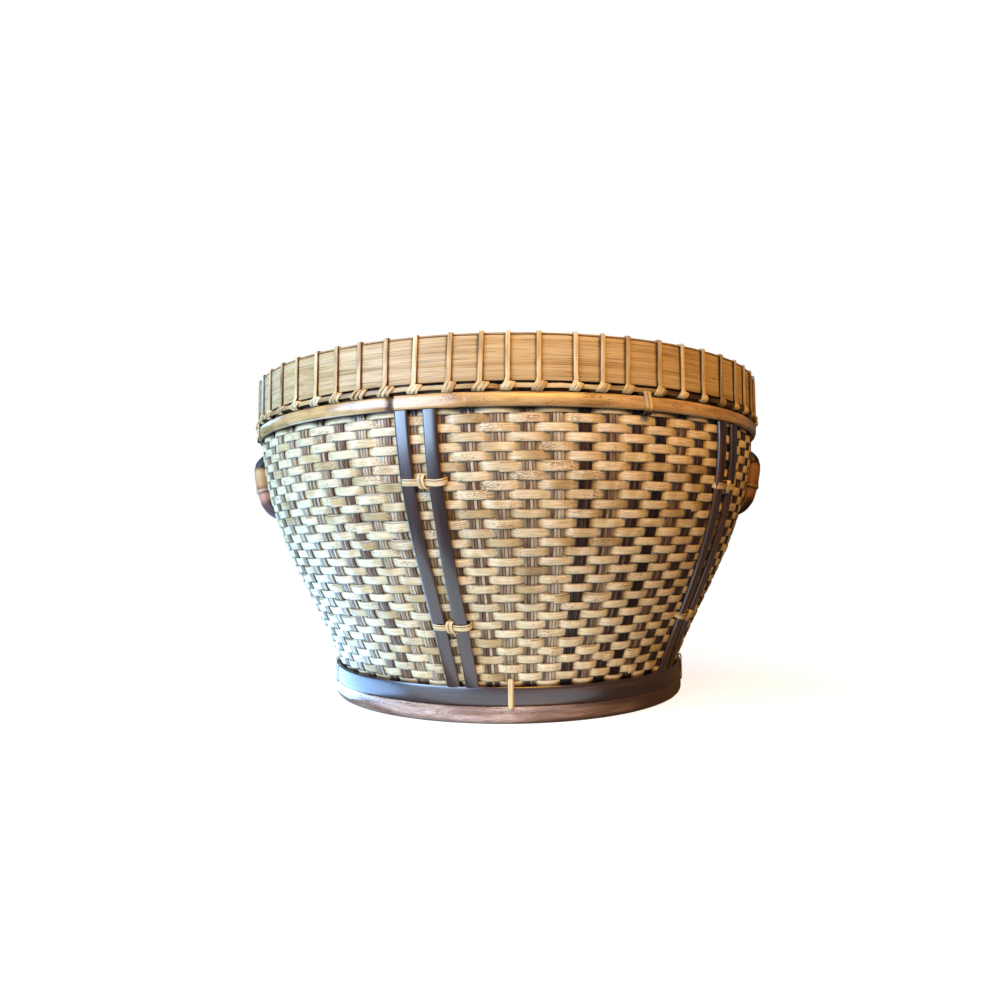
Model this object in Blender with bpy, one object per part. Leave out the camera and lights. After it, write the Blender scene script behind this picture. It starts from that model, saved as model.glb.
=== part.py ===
"""Round bamboo basket: a woven body with a lashed rim, rib pairs, two lugs and a wooden foot ring.

Metres, +Z up, the foot ring's flat underside at Z = 0 and the basket's axis on Z. An azimuth is in
degrees and grows from the front (-Y) towards the right-hand side (+X). The two lugs stand on the X axis.
Run it with: blender --background --python part.py
"""

import math

import bmesh
import bpy
import numpy as np
from mathutils import Matrix, Vector
from mathutils.geometry import interpolate_bezier

# Fits: between touching pieces, round a strand in its hole, and between a strand's own turns
FIT_GAP = 0.0003
HOLE_CLEARANCE = 0.0003
TURN_GAP = 0.0006

# Woven body: its outside runs from the foot, leaning out, and turns upright at the shoulder
WALL_FOOT_RADIUS = 0.1266
WALL_FOOT_LEAN = 17.0
WALL_FOOT_PULL = 0.054
WALL_TOP_RADIUS = 0.1879
WALL_TOP_HEIGHT = 0.2250
WALL_UPRIGHT_HEIGHT = 0.033
WALL_SHOULDER_PULL = 0.074
WALL_THICKNESS = 0.0030
FLOOR_THICKNESS = 0.0030
WALL_SPANS = 9

# Wooden foot ring
FOOT_RING_HEIGHT = 0.0109
FOOT_RING_WIDTH = 0.0145
FOOT_RING_SETBACK = 0.0002
FOOT_RING_ROUNDING = 0.0035

# Base hoop, standing on the foot ring
BASE_HOOP_HEIGHT = 0.0115
BASE_HOOP_THICKNESS = 0.0022
BASE_HOOP_JOINT = 160.0

# Rim: two bands clamp the wall's edge, and a thin strip covers all three edges
BAND_HEIGHT = 0.0254
BAND_THICKNESS = 0.0016
OUTER_BAND_JOINT = 140.0
INNER_BAND_JOINT = -120.0
CAP_THICKNESS = 0.0010
CAP_JOINT = 60.0

# Rim lashing: strands that wrap the rim, each for the same number of stitches
RIM_STRANDS = 5
STITCHES_PER_STRAND = 13
FIRST_STITCH = 0.3
STITCH_WIDTH = 0.0030
STITCH_THICKNESS = 0.0009
STITCH_RUN_GAP = 0.0011
STITCH_HOLE_STEP = 0.0032
STITCH_TAIL = 0.0050

# Half-round hoops under the rim, one outside and one inside
HOOP_GAP = 0.0018
HOOP_HEIGHT = 0.0082
HOOP_THICKNESS = 0.0026
HOOP_EDGE_SHARE = 0.62
OUTER_HOOP_JOINT = -19.2
INNER_HOOP_JOINT = 200.0
LAP_FACETS = 2

# Clips: two turns of cane round both hoops
CLIP_COUNT = 4
FIRST_CLIP = 24.7
CLIP_WIDTH = 0.0022
CLIP_THICKNESS = 0.0007
CLIP_PITCH = 0.0034
CLIP_TAIL = 0.0012

# Ribs in pairs: the azimuth of each pair's middle under the hoop and on the base hoop
RIB_PAIRS = ((-15.5, -12.3), (47.7, 55.5), (106.5, 108.0), (158.5, 160.0), (210.0, 210.5), (263.0, 262.0))
RIB_WIDTH = 0.0080
RIB_THICKNESS = 0.0024
RIB_PAIR_GAP = 0.0053
RIB_SHOULDER_SPAN = 0.4
RIB_SHOULDER_RISE = 0.65

# Rib ties: straps across each pair below the rim hoop and above the base hoop, each cinched by two
# turns between the ribs
UPPER_TIE_DROP = 0.0395
LOWER_TIE_RISE = 0.0393
TIE_WIDTH = 0.0036
TIE_THICKNESS = 0.0008
TIE_TAIL = 0.0050
WRAP_WIDTH = 0.0014
WRAP_PITCH = 0.0020
WRAP_MIDDLE = 0.75
WRAP_REACH = 0.0040

# Base lashings, each through the wall above the base hoop and through the foot ring below it
BASE_LASH_COUNT = 5
FIRST_BASE_LASH = 0.6
BASE_LASH_WIDTH = 0.0026
BASE_LASH_THICKNESS = 0.0008
BASE_LASH_RISE = 0.0046
BASE_LASH_DROP = 0.0016
BASE_LASH_TAIL = 0.0045

# Lugs of bent root, from the tail inside the wall above to the one below. Each station is the
# distance out from the wall's face, the drop below the rim hoop's lower edge and the radius.
LUG_AZIMUTHS = {"right": 90.0, "left": -90.0}
LUG_SIDES = 10
LUG_STATIONS = (
    (-0.0066, 0.0133, 0.0020),
    (-0.0064, 0.0095, 0.0023),
    (-0.0050, 0.0059, 0.0026),
    (-0.0010, 0.0039, 0.0030),
    (0.0040, 0.0043, 0.0036),
    (0.0088, 0.0078, 0.0048),
    (0.0120, 0.0130, 0.0059),
    (0.0131, 0.0185, 0.0062),
    (0.0134, 0.0295, 0.0060),
    (0.0133, 0.0350, 0.0064),
    (0.0131, 0.0370, 0.0056),
    (0.0118, 0.0430, 0.0054),
    (0.0080, 0.0483, 0.0051),
    (0.0020, 0.0513, 0.0047),
    (-0.0035, 0.0533, 0.0043),
    (-0.0078, 0.0567, 0.0039),
    (-0.0084, 0.0617, 0.0032),
)
LUG_UPPER_BORE = (1, 5)
LUG_LOWER_BORE = (12, 16)

# Reading a strand's gap to itself: the step along it, and how many stretches on each one is compared
GAP_READING_STEP = 0.0008
GAP_READING_SPAN = 14

# Points nearer than this become one
MERGE_DISTANCE = 0.00001

# Heights and counts that follow from the sizes above
SIDES = RIM_STRANDS * STITCHES_PER_STRAND
FACET = 360.0 / SIDES
FACET_MIDDLE = math.cos(math.pi / SIDES)
FACET_SAG = WALL_TOP_RADIUS * (1.0 - FACET_MIDDLE)
INSIDE_FACE = -(WALL_THICKNESS + FACET_SAG + FIT_GAP)
UP = Vector((0.0, 0.0, 1.0))
FLOOR_BOTTOM = FOOT_RING_HEIGHT + FIT_GAP
BASE_HOOP_BOTTOM = FOOT_RING_HEIGHT + FIT_GAP
BASE_HOOP_TOP = BASE_HOOP_BOTTOM + BASE_HOOP_HEIGHT
BAND_BOTTOM = WALL_TOP_HEIGHT - BAND_HEIGHT
CAP_BOTTOM = WALL_TOP_HEIGHT + FIT_GAP
CAP_TOP = CAP_BOTTOM + CAP_THICKNESS
RUN_HEIGHT = BAND_BOTTOM - STITCH_RUN_GAP - STITCH_WIDTH / 2
HOOP_TOP = RUN_HEIGHT - STITCH_WIDTH / 2 - HOOP_GAP
HOOP_BOTTOM = HOOP_TOP - HOOP_HEIGHT
TIE_HEIGHTS = {"upper": HOOP_BOTTOM - UPPER_TIE_DROP, "lower": BASE_HOOP_TOP + LOWER_TIE_RISE}
WALL_INNER_TOP_RADIUS = WALL_TOP_RADIUS - WALL_THICKNESS
BAND_OUTER_RADIUS = WALL_TOP_RADIUS + FIT_GAP + BAND_THICKNESS
BAND_INNER_RADIUS = WALL_INNER_TOP_RADIUS - FIT_GAP - BAND_THICKNESS


def outward(azimuth):
    """The unit vector that points out from the axis at this azimuth."""
    angle = math.radians(azimuth)
    return Vector((math.sin(angle), -math.cos(angle), 0.0))


def sideways(azimuth):
    """The unit vector along the rim at this azimuth, towards growing azimuths."""
    angle = math.radians(azimuth)
    return Vector((math.cos(angle), math.sin(angle), 0.0))


def polar(radius, azimuth, height):
    """The point at this radius, azimuth and height."""
    return outward(azimuth) * radius + UP * height


def arc_degrees(length, radius):
    return math.degrees(length / radius)


def outside_line():
    """(radius, height) of the wall's outer face from the foot to the top edge."""
    lean = math.radians(WALL_FOOT_LEAN)
    foot = Vector((WALL_FOOT_RADIUS, FLOOR_BOTTOM))
    shoulder = Vector((WALL_TOP_RADIUS, WALL_TOP_HEIGHT - WALL_UPRIGHT_HEIGHT))
    leaving = foot + WALL_FOOT_PULL * Vector((math.sin(lean), math.cos(lean)))
    arriving = shoulder - Vector((0.0, WALL_SHOULDER_PULL))
    points = interpolate_bezier(foot, leaving, arriving, shoulder, WALL_SPANS + 1)
    return [point.to_2d() for point in points] + [Vector((WALL_TOP_RADIUS, WALL_TOP_HEIGHT))]


def offset_line(line, lift):
    """The line moved outwards by lift, mitred at its corners."""
    directions = [(b - a).normalized() for a, b in zip(line, line[1:])]
    normals = [Vector((direction.y, -direction.x)) for direction in directions]
    moved = []
    for i, point in enumerate(line):
        before = normals[max(i - 1, 0)]
        after = normals[min(i, len(normals) - 1)]
        moved.append(point + (before + after) * lift / (1.0 + before.dot(after)))
    return moved


def radius_at(line, height):
    """The line's radius at this height."""
    for low, high in zip(line, line[1:]):
        if high.y >= height:
            break
    share = (height - low.y) / (high.y - low.y)
    return low.x + (high.x - low.x) * share


OUTSIDE = outside_line()


def wall_radius(height):
    return radius_at(OUTSIDE, height)


def on_wall(azimuth, height, lift=0.0, side=0.0, up=0.0):
    """A point near the wall's outer face: lift out from it, side round it and up along it."""
    turned = azimuth + arc_degrees(side, wall_radius(height))
    height += up * wall_axes(turned, height)[1].z
    out = wall_axes(turned, height)[2]
    return polar(wall_radius(height), turned, height) + out * lift


def wall_axes(azimuth, height):
    """Unit vectors round the wall, up along it and out of it."""
    for low, high in zip(OUTSIDE, OUTSIDE[1:]):
        if high.y >= height:
            break
    slope = (high - low).normalized()
    up = outward(azimuth) * slope.x + UP * slope.y
    out = outward(azimuth) * slope.y - UP * slope.x
    return sideways(azimuth), up, out


def material_of(name, colour, roughness):
    material = bpy.data.materials.new(name)
    material.use_nodes = True
    shader = material.node_tree.nodes["Principled BSDF"]
    shader.inputs["Base Color"].default_value = (*colour, 1.0)
    shader.inputs["Roughness"].default_value = roughness
    shader.inputs["Metallic"].default_value = 0.0
    material.diffuse_color = (*colour, 1.0)
    return material


def add_object(name, bm, colour, roughness=0.6, sharp=35.0):
    """Make the solid an object with a material of its own, shaded smooth except at its edges."""
    bmesh.ops.recalc_face_normals(bm, faces=bm.faces)
    mesh = bpy.data.meshes.new(name)
    bm.to_mesh(mesh)
    bm.free()
    mesh.shade_smooth()
    mesh.set_sharp_from_angle(angle=math.radians(sharp))
    mesh.materials.append(material_of(name, colour, roughness))
    made = bpy.data.objects.new(name, mesh)
    bpy.context.scene.collection.objects.link(made)
    return made


def add_cutter(name, bm, target):
    """Cut this shape from the target with a Boolean, and hide the shape itself."""
    bmesh.ops.recalc_face_normals(bm, faces=bm.faces)
    mesh = bpy.data.meshes.new(name)
    bm.to_mesh(mesh)
    bm.free()
    cutter = bpy.data.objects.new(name, mesh)
    cutter.hide_render = True
    cutter.display_type = "WIRE"
    bpy.context.scene.collection.objects.link(cutter)
    cut = target.modifiers.new(name, "BOOLEAN")
    cut.operation = "DIFFERENCE"
    cut.solver = "EXACT"
    cut.object = cutter


def loft(bm, rings):
    """Skin a row of rings that have the same number of points, and cap its two ends."""
    loops = [[bm.verts.new(point) for point in ring] for ring in rings]
    for first, second in zip(loops, loops[1:]):
        for i in range(len(first)):
            j = (i + 1) % len(first)
            bm.faces.new((first[i], first[j], second[j], second[i]))
    bm.faces.new(loops[0])
    bm.faces.new(loops[-1])


def spun_solid(outline):
    """A solid of revolution round Z; the facets' middles lie at the stitches."""
    bm = bmesh.new()
    start = FIRST_STITCH + FACET / 2
    verts = [bm.verts.new(polar(radius, start, height)) for radius, height in outline]
    edges = [bm.edges.new((verts[i - 1], verts[i])) for i in range(1, len(verts))]
    if outline[0][0] > 0.0:
        edges.append(bm.edges.new((verts[-1], verts[0])))
    bmesh.ops.spin(
        bm,
        geom=verts + edges,
        axis=(0, 0, 1),
        cent=(0, 0, 0),
        angle=math.tau,
        steps=SIDES,
        use_merge=True,
    )
    bmesh.ops.remove_doubles(bm, verts=bm.verts, dist=MERGE_DISTANCE)
    return bm


def add_box(bm, centre, axes, sizes):
    """A box whose sides lie along three unit axes."""
    turn = Matrix(axes).transposed().to_4x4()
    scale = Matrix.Diagonal((*sizes, 1.0))
    bmesh.ops.create_cube(bm, size=1.0, matrix=Matrix.Translation(centre) @ turn @ scale)


def strand_frames(path, faces):
    """(side, normal) of each stretch of a flat strand.

    A stretch's flat side looks along its entry in faces, or, where that is None, along the direction
    that the fold carries over from the stretch before.
    """
    frames = []
    before = None
    for start, end, face in zip(path, path[1:], faces):
        direction = (end - start).normalized()
        carried = before.rotation_difference(direction) @ frames[-1][1] if frames else face
        normal = carried if face is None else face
        normal = (normal - direction * normal.dot(direction)).normalized()
        if carried.dot(normal) < 0.0:
            normal = -normal
        frames.append((normal.cross(direction), normal))
        before = direction
    return frames


def strip_rings(path, faces, widths, thickness):
    """Rings of four points along a flat strand that is folded at each corner of its path."""
    directions = [(b - a).normalized() for a, b in zip(path, path[1:])]
    frames = strand_frames(path, faces)
    last = len(directions) - 1
    rings = []
    for i, point in enumerate(path):
        stretches = (max(i - 1, 0), min(i, last))
        fold = (directions[stretches[0]] + directions[stretches[1]]).normalized()
        ring = []
        for across, over in ((1, 1), (-1, 1), (-1, -1), (1, -1)):
            corners = []
            for stretch in stretches:
                side, normal = frames[stretch]
                direction = directions[stretch]
                corner = side * (across * widths[i] / 2) + normal * (over * thickness / 2)
                corners.append(corner - direction * (corner.dot(fold) / direction.dot(fold)))
            ring.append(point + (corners[0] + corners[1]) / 2)
        rings.append(ring)
    return rings


def least_gap(rings):
    """The least distance between stretches of a strand that don't meet, read on points of its surface."""
    stretches = []
    for start, end in zip(rings, rings[1:]):
        steps = max(2, int((end[0] - start[0]).length / GAP_READING_STEP))
        edges = []
        for i in range(4):
            j = (i + 1) % 4
            edges.append((start[i], end[i]))
            edges.append(((start[i] + start[j]) / 2, (end[i] + end[j]) / 2))
        points = [a.lerp(b, k / steps) for a, b in edges for k in range(steps + 1)]
        stretches.append(np.array([tuple(point) for point in points]))
    least = math.inf
    for i, first in enumerate(stretches):
        for second in stretches[i + 2 : i + GAP_READING_SPAN]:
            apart = np.linalg.norm(first[:, None] - second[None], axis=2)
            least = min(least, float(apart.min()))
    return least


def add_strand(name, stations, thickness, colour):
    """A flat cane strand, with its least gap to itself printed.

    Each station is a point, the strand's width there and the way the flat side looks from there on.
    """
    path, widths, faces = zip(*stations)
    rings = strip_rings(path, faces, widths, thickness)
    bm = bmesh.new()
    loft(bm, rings)
    print(f"{name}: least gap to itself {least_gap(rings) * 1000:.2f} mm")
    return add_object(name, bm, colour, roughness=0.55, sharp=25.0)


def add_bent_strip(name, section, joint, colour, roughness=0.5):
    """A strip bent into a hoop, its two ends thinned to half and lapped at the joint's azimuth.

    The section is a ring of (radius, height) points. The end that lies outside stops at the joint.
    """
    radii = [radius for radius, height in section]
    middle = (min(radii) + max(radii)) / 2
    inner = [(min(radius, middle - FIT_GAP / 2), height) for radius, height in section]
    outer = [(max(radius, middle + FIT_GAP / 2), height) for radius, height in section]
    gap = arc_degrees(FIT_GAP, middle)
    last = round((joint - FIRST_STITCH) / FACET - 0.5)
    first = last - LAP_FACETS
    rings = []
    for station in range(first, first + SIDES + LAP_FACETS + 1):
        azimuth = FIRST_STITCH + (station + 0.5) * FACET
        sections = []
        if station <= last:
            sections.append(inner)
        if last <= station <= first + SIDES:
            sections.append(section)
        if station >= first + SIDES:
            sections.append(outer)
        if station == first:
            azimuth += gap
        if station == last + SIDES:
            azimuth -= gap
        for points in sections:
            rings.append([polar(radius, azimuth, height) for radius, height in points])
    bm = bmesh.new()
    loft(bm, rings)
    return add_object(name, bm, colour, roughness)


def box_section(inner_radius, outer_radius, bottom, top):
    return [(inner_radius, bottom), (outer_radius, bottom), (outer_radius, top), (inner_radius, top)]


def half_round_section(flat_radius, crown_radius, bottom, top):
    """Flat on one side and crowned on the other, with a short upright edge between."""
    edge = flat_radius + (crown_radius - flat_radius) * HOOP_EDGE_SHARE
    quarter = (top - bottom) / 4
    return [
        (flat_radius, bottom),
        (edge, bottom),
        (crown_radius, bottom + quarter),
        (crown_radius, top - quarter),
        (edge, top),
        (flat_radius, top),
    ]


def add_woven_body():
    inside = offset_line(OUTSIDE, -WALL_THICKNESS)
    floor_top = FLOOR_BOTTOM + FLOOR_THICKNESS
    outline = [(0.0, FLOOR_BOTTOM)]
    outline += [(point.x, point.y) for point in OUTSIDE]
    outline += [(point.x, point.y) for point in reversed(inside) if point.y > floor_top + FIT_GAP]
    outline += [(radius_at(inside, floor_top), floor_top), (0.0, floor_top)]
    return add_object("woven_body", spun_solid(outline), (0.62, 0.50, 0.30), roughness=0.7)


def add_foot_ring(outer_radius):
    inner_radius = outer_radius - FOOT_RING_WIDTH
    outline = [(inner_radius, 0.0)]
    for step in range(4):
        angle = math.radians(30.0 * step)
        radius = outer_radius - FOOT_RING_ROUNDING * (1.0 - math.sin(angle))
        outline.append((radius, FOOT_RING_ROUNDING * (1.0 - math.cos(angle))))
    outline += [(outer_radius, FOOT_RING_HEIGHT), (inner_radius, FOOT_RING_HEIGHT)]
    return add_object("foot_ring", spun_solid(outline), (0.27, 0.15, 0.08), roughness=0.55)


def add_bands():
    gold = (0.60, 0.40, 0.18)
    outer = box_section(WALL_TOP_RADIUS + FIT_GAP, BAND_OUTER_RADIUS, BAND_BOTTOM, WALL_TOP_HEIGHT)
    add_bent_strip("rim_band_outer", outer, OUTER_BAND_JOINT, gold)
    inner = box_section(BAND_INNER_RADIUS, WALL_INNER_TOP_RADIUS - FIT_GAP, BAND_BOTTOM, WALL_TOP_HEIGHT)
    add_bent_strip("rim_band_inner", inner, INNER_BAND_JOINT, gold)
    cap = box_section(BAND_INNER_RADIUS, BAND_OUTER_RADIUS, CAP_BOTTOM, CAP_TOP)
    add_bent_strip("rim_cap_strip", cap, CAP_JOINT, (0.20, 0.11, 0.05))


def add_hoops():
    """The half-round hoops; each lies flat on the wall."""
    flat = WALL_TOP_RADIUS + FIT_GAP
    crown = flat + HOOP_THICKNESS
    outer = half_round_section(flat, crown, HOOP_BOTTOM, HOOP_TOP)
    add_bent_strip("rim_hoop_outer", outer, OUTER_HOOP_JOINT, (0.62, 0.38, 0.13), 0.35)
    inner_flat = radius_at(offset_line(OUTSIDE, -WALL_THICKNESS), HOOP_BOTTOM) - FIT_GAP
    inner_crown = inner_flat - HOOP_THICKNESS
    inner = half_round_section(inner_flat, inner_crown, HOOP_BOTTOM, HOOP_TOP)
    add_bent_strip("rim_hoop_inner", inner, INNER_HOOP_JOINT, (0.55, 0.36, 0.15), 0.4)
    return crown, inner_crown


def stitch_azimuth(stitch):
    return FIRST_STITCH + stitch * FACET


def rim_strand(first_stitch):
    """One strand: a run outside, up, over the cap, down inside and out again through the wall."""
    half = STITCH_THICKNESS / 2
    outside = BAND_OUTER_RADIUS + FIT_GAP + half
    inside = BAND_INNER_RADIUS * FACET_MIDDLE - FIT_GAP - half
    over = CAP_TOP + FIT_GAP + half
    step = arc_degrees(STITCH_HOLE_STEP, outside)
    start = stitch_azimuth(first_stitch) - arc_degrees(STITCH_TAIL, outside)
    path = [(polar(outside, start, RUN_HEIGHT), outward(start))]
    for stitch in range(first_stitch, first_stitch + STITCHES_PER_STRAND):
        azimuth = stitch_azimuth(stitch)
        pierced = azimuth + step
        path.append((polar(outside, azimuth, RUN_HEIGHT), outward(azimuth)))
        path.append((polar(outside, azimuth, over), UP))
        path.append((polar(inside, azimuth, over), outward(azimuth)))
        path.append((polar(inside, azimuth, RUN_HEIGHT), outward(azimuth)))
        path.append((polar(inside, pierced, RUN_HEIGHT), sideways(pierced)))
        path.append((polar(outside, pierced, RUN_HEIGHT), outward(pierced)))
    path[-1] = (polar(inside, pierced + step, RUN_HEIGHT), UP)
    path[-2] = (path[-2][0], outward(pierced))
    return [(point, STITCH_WIDTH, face) for point, face in path]


def add_rim_lashing(holes):
    step = arc_degrees(STITCH_HOLE_STEP, BAND_OUTER_RADIUS)
    for strand in range(RIM_STRANDS):
        first = strand * STITCHES_PER_STRAND
        name = f"rim_lashing_{strand + 1}"
        add_strand(name, rim_strand(first), STITCH_THICKNESS, (0.66, 0.47, 0.24))
        for stitch in range(first, first + STITCHES_PER_STRAND - 1):
            azimuth = stitch_azimuth(stitch) + step
            add_level_hole(holes, azimuth, RUN_HEIGHT, STITCH_THICKNESS, STITCH_WIDTH)


def hole_sizes(side_size, up_size):
    return (side_size + 2 * HOLE_CLEARANCE, up_size + 2 * HOLE_CLEARANCE, 2 * WALL_THICKNESS)


def add_hole(holes, azimuth, height, side_size, up_size, side=0.0, up=0.0):
    """A slot square to the wall, for a strand of these sizes round the wall and up along it."""
    centre = on_wall(azimuth, height, -WALL_THICKNESS / 2, side, up)
    turned = azimuth + arc_degrees(side, wall_radius(height))
    add_box(holes, centre, wall_axes(turned, height), hole_sizes(side_size, up_size))


def add_level_hole(holes, azimuth, height, side_size, up_size):
    """A slot through the wall for a strand that passes it level, whatever the wall's lean."""
    centre = polar(wall_radius(height) - WALL_THICKNESS / 2, azimuth, height)
    axes = (sideways(azimuth), UP, outward(azimuth))
    add_box(holes, centre, axes, hole_sizes(side_size, up_size))


def add_clips(holes, crown, inner_crown):
    """Two turns round both hoops, through the wall above and below them."""
    half = CLIP_THICKNESS / 2
    outside = crown + FIT_GAP + half
    inside = inner_crown * FACET_MIDDLE - FIT_GAP - half
    above = HOOP_TOP + FIT_GAP + half
    below = HOOP_BOTTOM - FIT_GAP - half
    for clip in range(CLIP_COUNT):
        middle = FIRST_CLIP + clip * 360.0 / CLIP_COUNT
        turns = [middle + arc_degrees(way * CLIP_PITCH / 2, outside) for way in (-1, 1)]
        path = [(polar(inside, turns[0], above - CLIP_TAIL), outward(middle))]
        for azimuth in turns:
            path.append((polar(inside, azimuth, above), UP))
            path.append((polar(outside, azimuth, above), outward(middle)))
            path.append((polar(outside, azimuth, below), UP))
            path.append((polar(inside, azimuth, below), outward(middle)))
        path.append((polar(inside, turns[1], below + CLIP_TAIL), outward(middle)))
        stations = [(point, CLIP_WIDTH, face) for point, face in path]
        add_strand(f"hoop_clip_{clip + 1}", stations, CLIP_THICKNESS, (0.72, 0.52, 0.28))
        for height in (above, below):
            add_level_hole(holes, middle, height, CLIP_WIDTH + CLIP_PITCH, CLIP_THICKNESS)


def pair_azimuth(pair, height):
    """The azimuth of a rib pair's middle, which drifts from the hoop down to the base hoop."""
    top, foot = pair
    share = (height - BASE_HOOP_TOP) / (HOOP_BOTTOM - BASE_HOOP_TOP)
    return foot + (top - foot) * share


def pair_lean(pair, height):
    """How far a rib pair moves round the wall for each step up it."""
    top, foot = pair
    return math.radians(top - foot) * wall_radius(height) / (HOOP_BOTTOM - BASE_HOOP_TOP)


def rib_half_step():
    """Half of the angle between a pair's two ribs, from their gap at the lower tie."""
    return arc_degrees((RIB_WIDTH + RIB_PAIR_GAP) / 2, wall_radius(TIE_HEIGHTS["lower"]))


def rib_section():
    """(side, lift) points of a rib: a flat back and a domed front."""
    return (
        (-RIB_WIDTH / 2, FIT_GAP),
        (-RIB_WIDTH * RIB_SHOULDER_SPAN, FIT_GAP + RIB_THICKNESS * RIB_SHOULDER_RISE),
        (0.0, FIT_GAP + RIB_THICKNESS),
        (RIB_WIDTH * RIB_SHOULDER_SPAN, FIT_GAP + RIB_THICKNESS * RIB_SHOULDER_RISE),
        (RIB_WIDTH / 2, FIT_GAP),
    )


def add_rib(name, pair, step):
    """A split cane on the wall, from the base hoop's top edge to the rim hoop's lower edge."""
    foot = BASE_HOOP_TOP + FIT_GAP
    top = HOOP_BOTTOM - FIT_GAP
    lines = [(side, offset_line(OUTSIDE, lift)) for side, lift in rib_section()]
    margin = 3 * RIB_THICKNESS
    heights = [foot, *(point.y for point in OUTSIDE if foot + margin < point.y < top - margin), top]
    rings = []
    for height in heights:
        azimuth = pair_azimuth(pair, height) + step
        along = sideways(azimuth)
        ring = [polar(radius_at(line, height), azimuth, height) + along * side for side, line in lines]
        rings.append(ring)
    bm = bmesh.new()
    loft(bm, rings)
    add_object(name, bm, (0.045, 0.035, 0.035), roughness=0.35)


def tie_strand(azimuth, height, lean, hole, start):
    """The strap over both ribs and back inside, then two turns round it between the ribs."""
    half = TIE_THICKNESS / 2
    rib = math.radians(rib_half_step()) * wall_radius(height)
    side_face, up_face, out_face = wall_axes(azimuth, height)
    inside = INSIDE_FACE - half
    low = FIT_GAP + RIB_THICKNESS * RIB_SHOULDER_RISE / 2
    shoulder = FIT_GAP + RIB_THICKNESS * RIB_SHOULDER_RISE + FIT_GAP + half
    crown = FIT_GAP + RIB_THICKNESS + FIT_GAP + half
    front = crown + TIE_THICKNESS + TURN_GAP
    behind = crown - TIE_THICKNESS - TURN_GAP
    edge = rib + RIB_WIDTH * RIB_SHOULDER_SPAN + abs(lean) * TIE_WIDTH / 2 + FIT_GAP
    strap = (
        (-hole + TIE_TAIL, inside, out_face),
        (-hole, inside, side_face),
        (-hole, low, None),
        (-edge, shoulder, None),
        (-rib, crown, None),
        (rib, crown, None),
        (edge, shoulder, None),
        (hole, low, side_face),
        (hole, inside, out_face),
    )
    wraps = (
        (0.0, inside, 0, out_face),
        (0.0, inside, -1, up_face),
        (0.0, front, -1, out_face),
        (0.5, front, 1, up_face),
        (0.5, behind, 1, out_face),
        (1.0, behind, -1, up_face),
        (1.0, front, -1, out_face),
        (1.5, front, 1, up_face),
        (1.5, behind, 1, out_face),
        (1.8, behind, 0.25, out_face),
    )
    stations = [(on_wall(azimuth, height, lift, side), TIE_WIDTH, face) for side, lift, face in strap]
    for pitches, lift, end, face in wraps:
        up = end * WRAP_REACH
        point = on_wall(azimuth, height, lift, start + pitches * WRAP_PITCH + lean * up, up)
        stations.append((point, WRAP_WIDTH, face))
    return stations


def add_rib_ties(holes, pair, number):
    start = -WRAP_MIDDLE * WRAP_PITCH
    for place, height in TIE_HEIGHTS.items():
        azimuth = pair_azimuth(pair, height)
        rib = math.radians(rib_half_step()) * wall_radius(height)
        lean = pair_lean(pair, height)
        hole = rib + RIB_WIDTH / 2 + abs(lean) * TIE_WIDTH / 2 + FIT_GAP + TIE_THICKNESS / 2
        stations = tie_strand(azimuth, height, lean, hole, start)
        add_strand(f"rib_tie_{number}_{place}", stations, TIE_THICKNESS, (0.68, 0.52, 0.30))
        for side in (-hole, hole):
            add_hole(holes, azimuth, height, TIE_THICKNESS, TIE_WIDTH, side)
        first = start - lean * WRAP_REACH
        add_hole(holes, azimuth, height, WRAP_WIDTH, TIE_THICKNESS, first, -WRAP_REACH)


def add_ribs(holes):
    for number, pair in enumerate(RIB_PAIRS, start=1):
        add_rib(f"rib_{number}a", pair, -rib_half_step())
        add_rib(f"rib_{number}b", pair, rib_half_step())
        add_rib_ties(holes, pair, number)


def add_base_lashings(holes, foot_ring, hoop_radius):
    """Strands that hold the base hoop to the wall above it and to the foot ring below it."""
    half = BASE_LASH_THICKNESS / 2
    outside = hoop_radius + FIT_GAP + half
    ring_inside = (hoop_radius - FOOT_RING_SETBACK - FOOT_RING_WIDTH) * FACET_MIDDLE - FIT_GAP - half
    above = BASE_HOOP_TOP + BASE_LASH_RISE
    below = FOOT_RING_HEIGHT - BASE_LASH_DROP
    ring_holes = bmesh.new()
    for lash in range(BASE_LASH_COUNT):
        azimuth = FIRST_BASE_LASH + lash * 360.0 / BASE_LASH_COUNT
        pierced = on_wall(azimuth, above, INSIDE_FACE - half)
        out = wall_axes(azimuth, above)[2]
        reach = (outside - pierced.to_2d().length) / out.to_2d().length
        path = (
            (on_wall(azimuth, above, INSIDE_FACE - half, 0.0, BASE_LASH_TAIL), out),
            (pierced, None),
            (pierced + out * reach, None),
            (polar(outside, azimuth, below), UP),
            (polar(ring_inside, azimuth, below), None),
            (polar(ring_inside, azimuth, below - BASE_LASH_TAIL), None),
        )
        stations = [(point, BASE_LASH_WIDTH, face) for point, face in path]
        add_strand(f"base_lashing_{lash + 1}", stations, BASE_LASH_THICKNESS, (0.74, 0.60, 0.38))
        add_hole(holes, azimuth, above, BASE_LASH_WIDTH, BASE_LASH_THICKNESS)
        centre = polar(outside - FOOT_RING_WIDTH / 2, azimuth, below)
        axes = (sideways(azimuth), outward(azimuth), UP)
        sizes = (
            BASE_LASH_WIDTH + 2 * HOLE_CLEARANCE,
            2 * FOOT_RING_WIDTH,
            BASE_LASH_THICKNESS + 2 * HOLE_CLEARANCE,
        )
        add_box(ring_holes, centre, axes, sizes)
    add_cutter("foot_ring_lash_holes", ring_holes, foot_ring)


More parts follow.
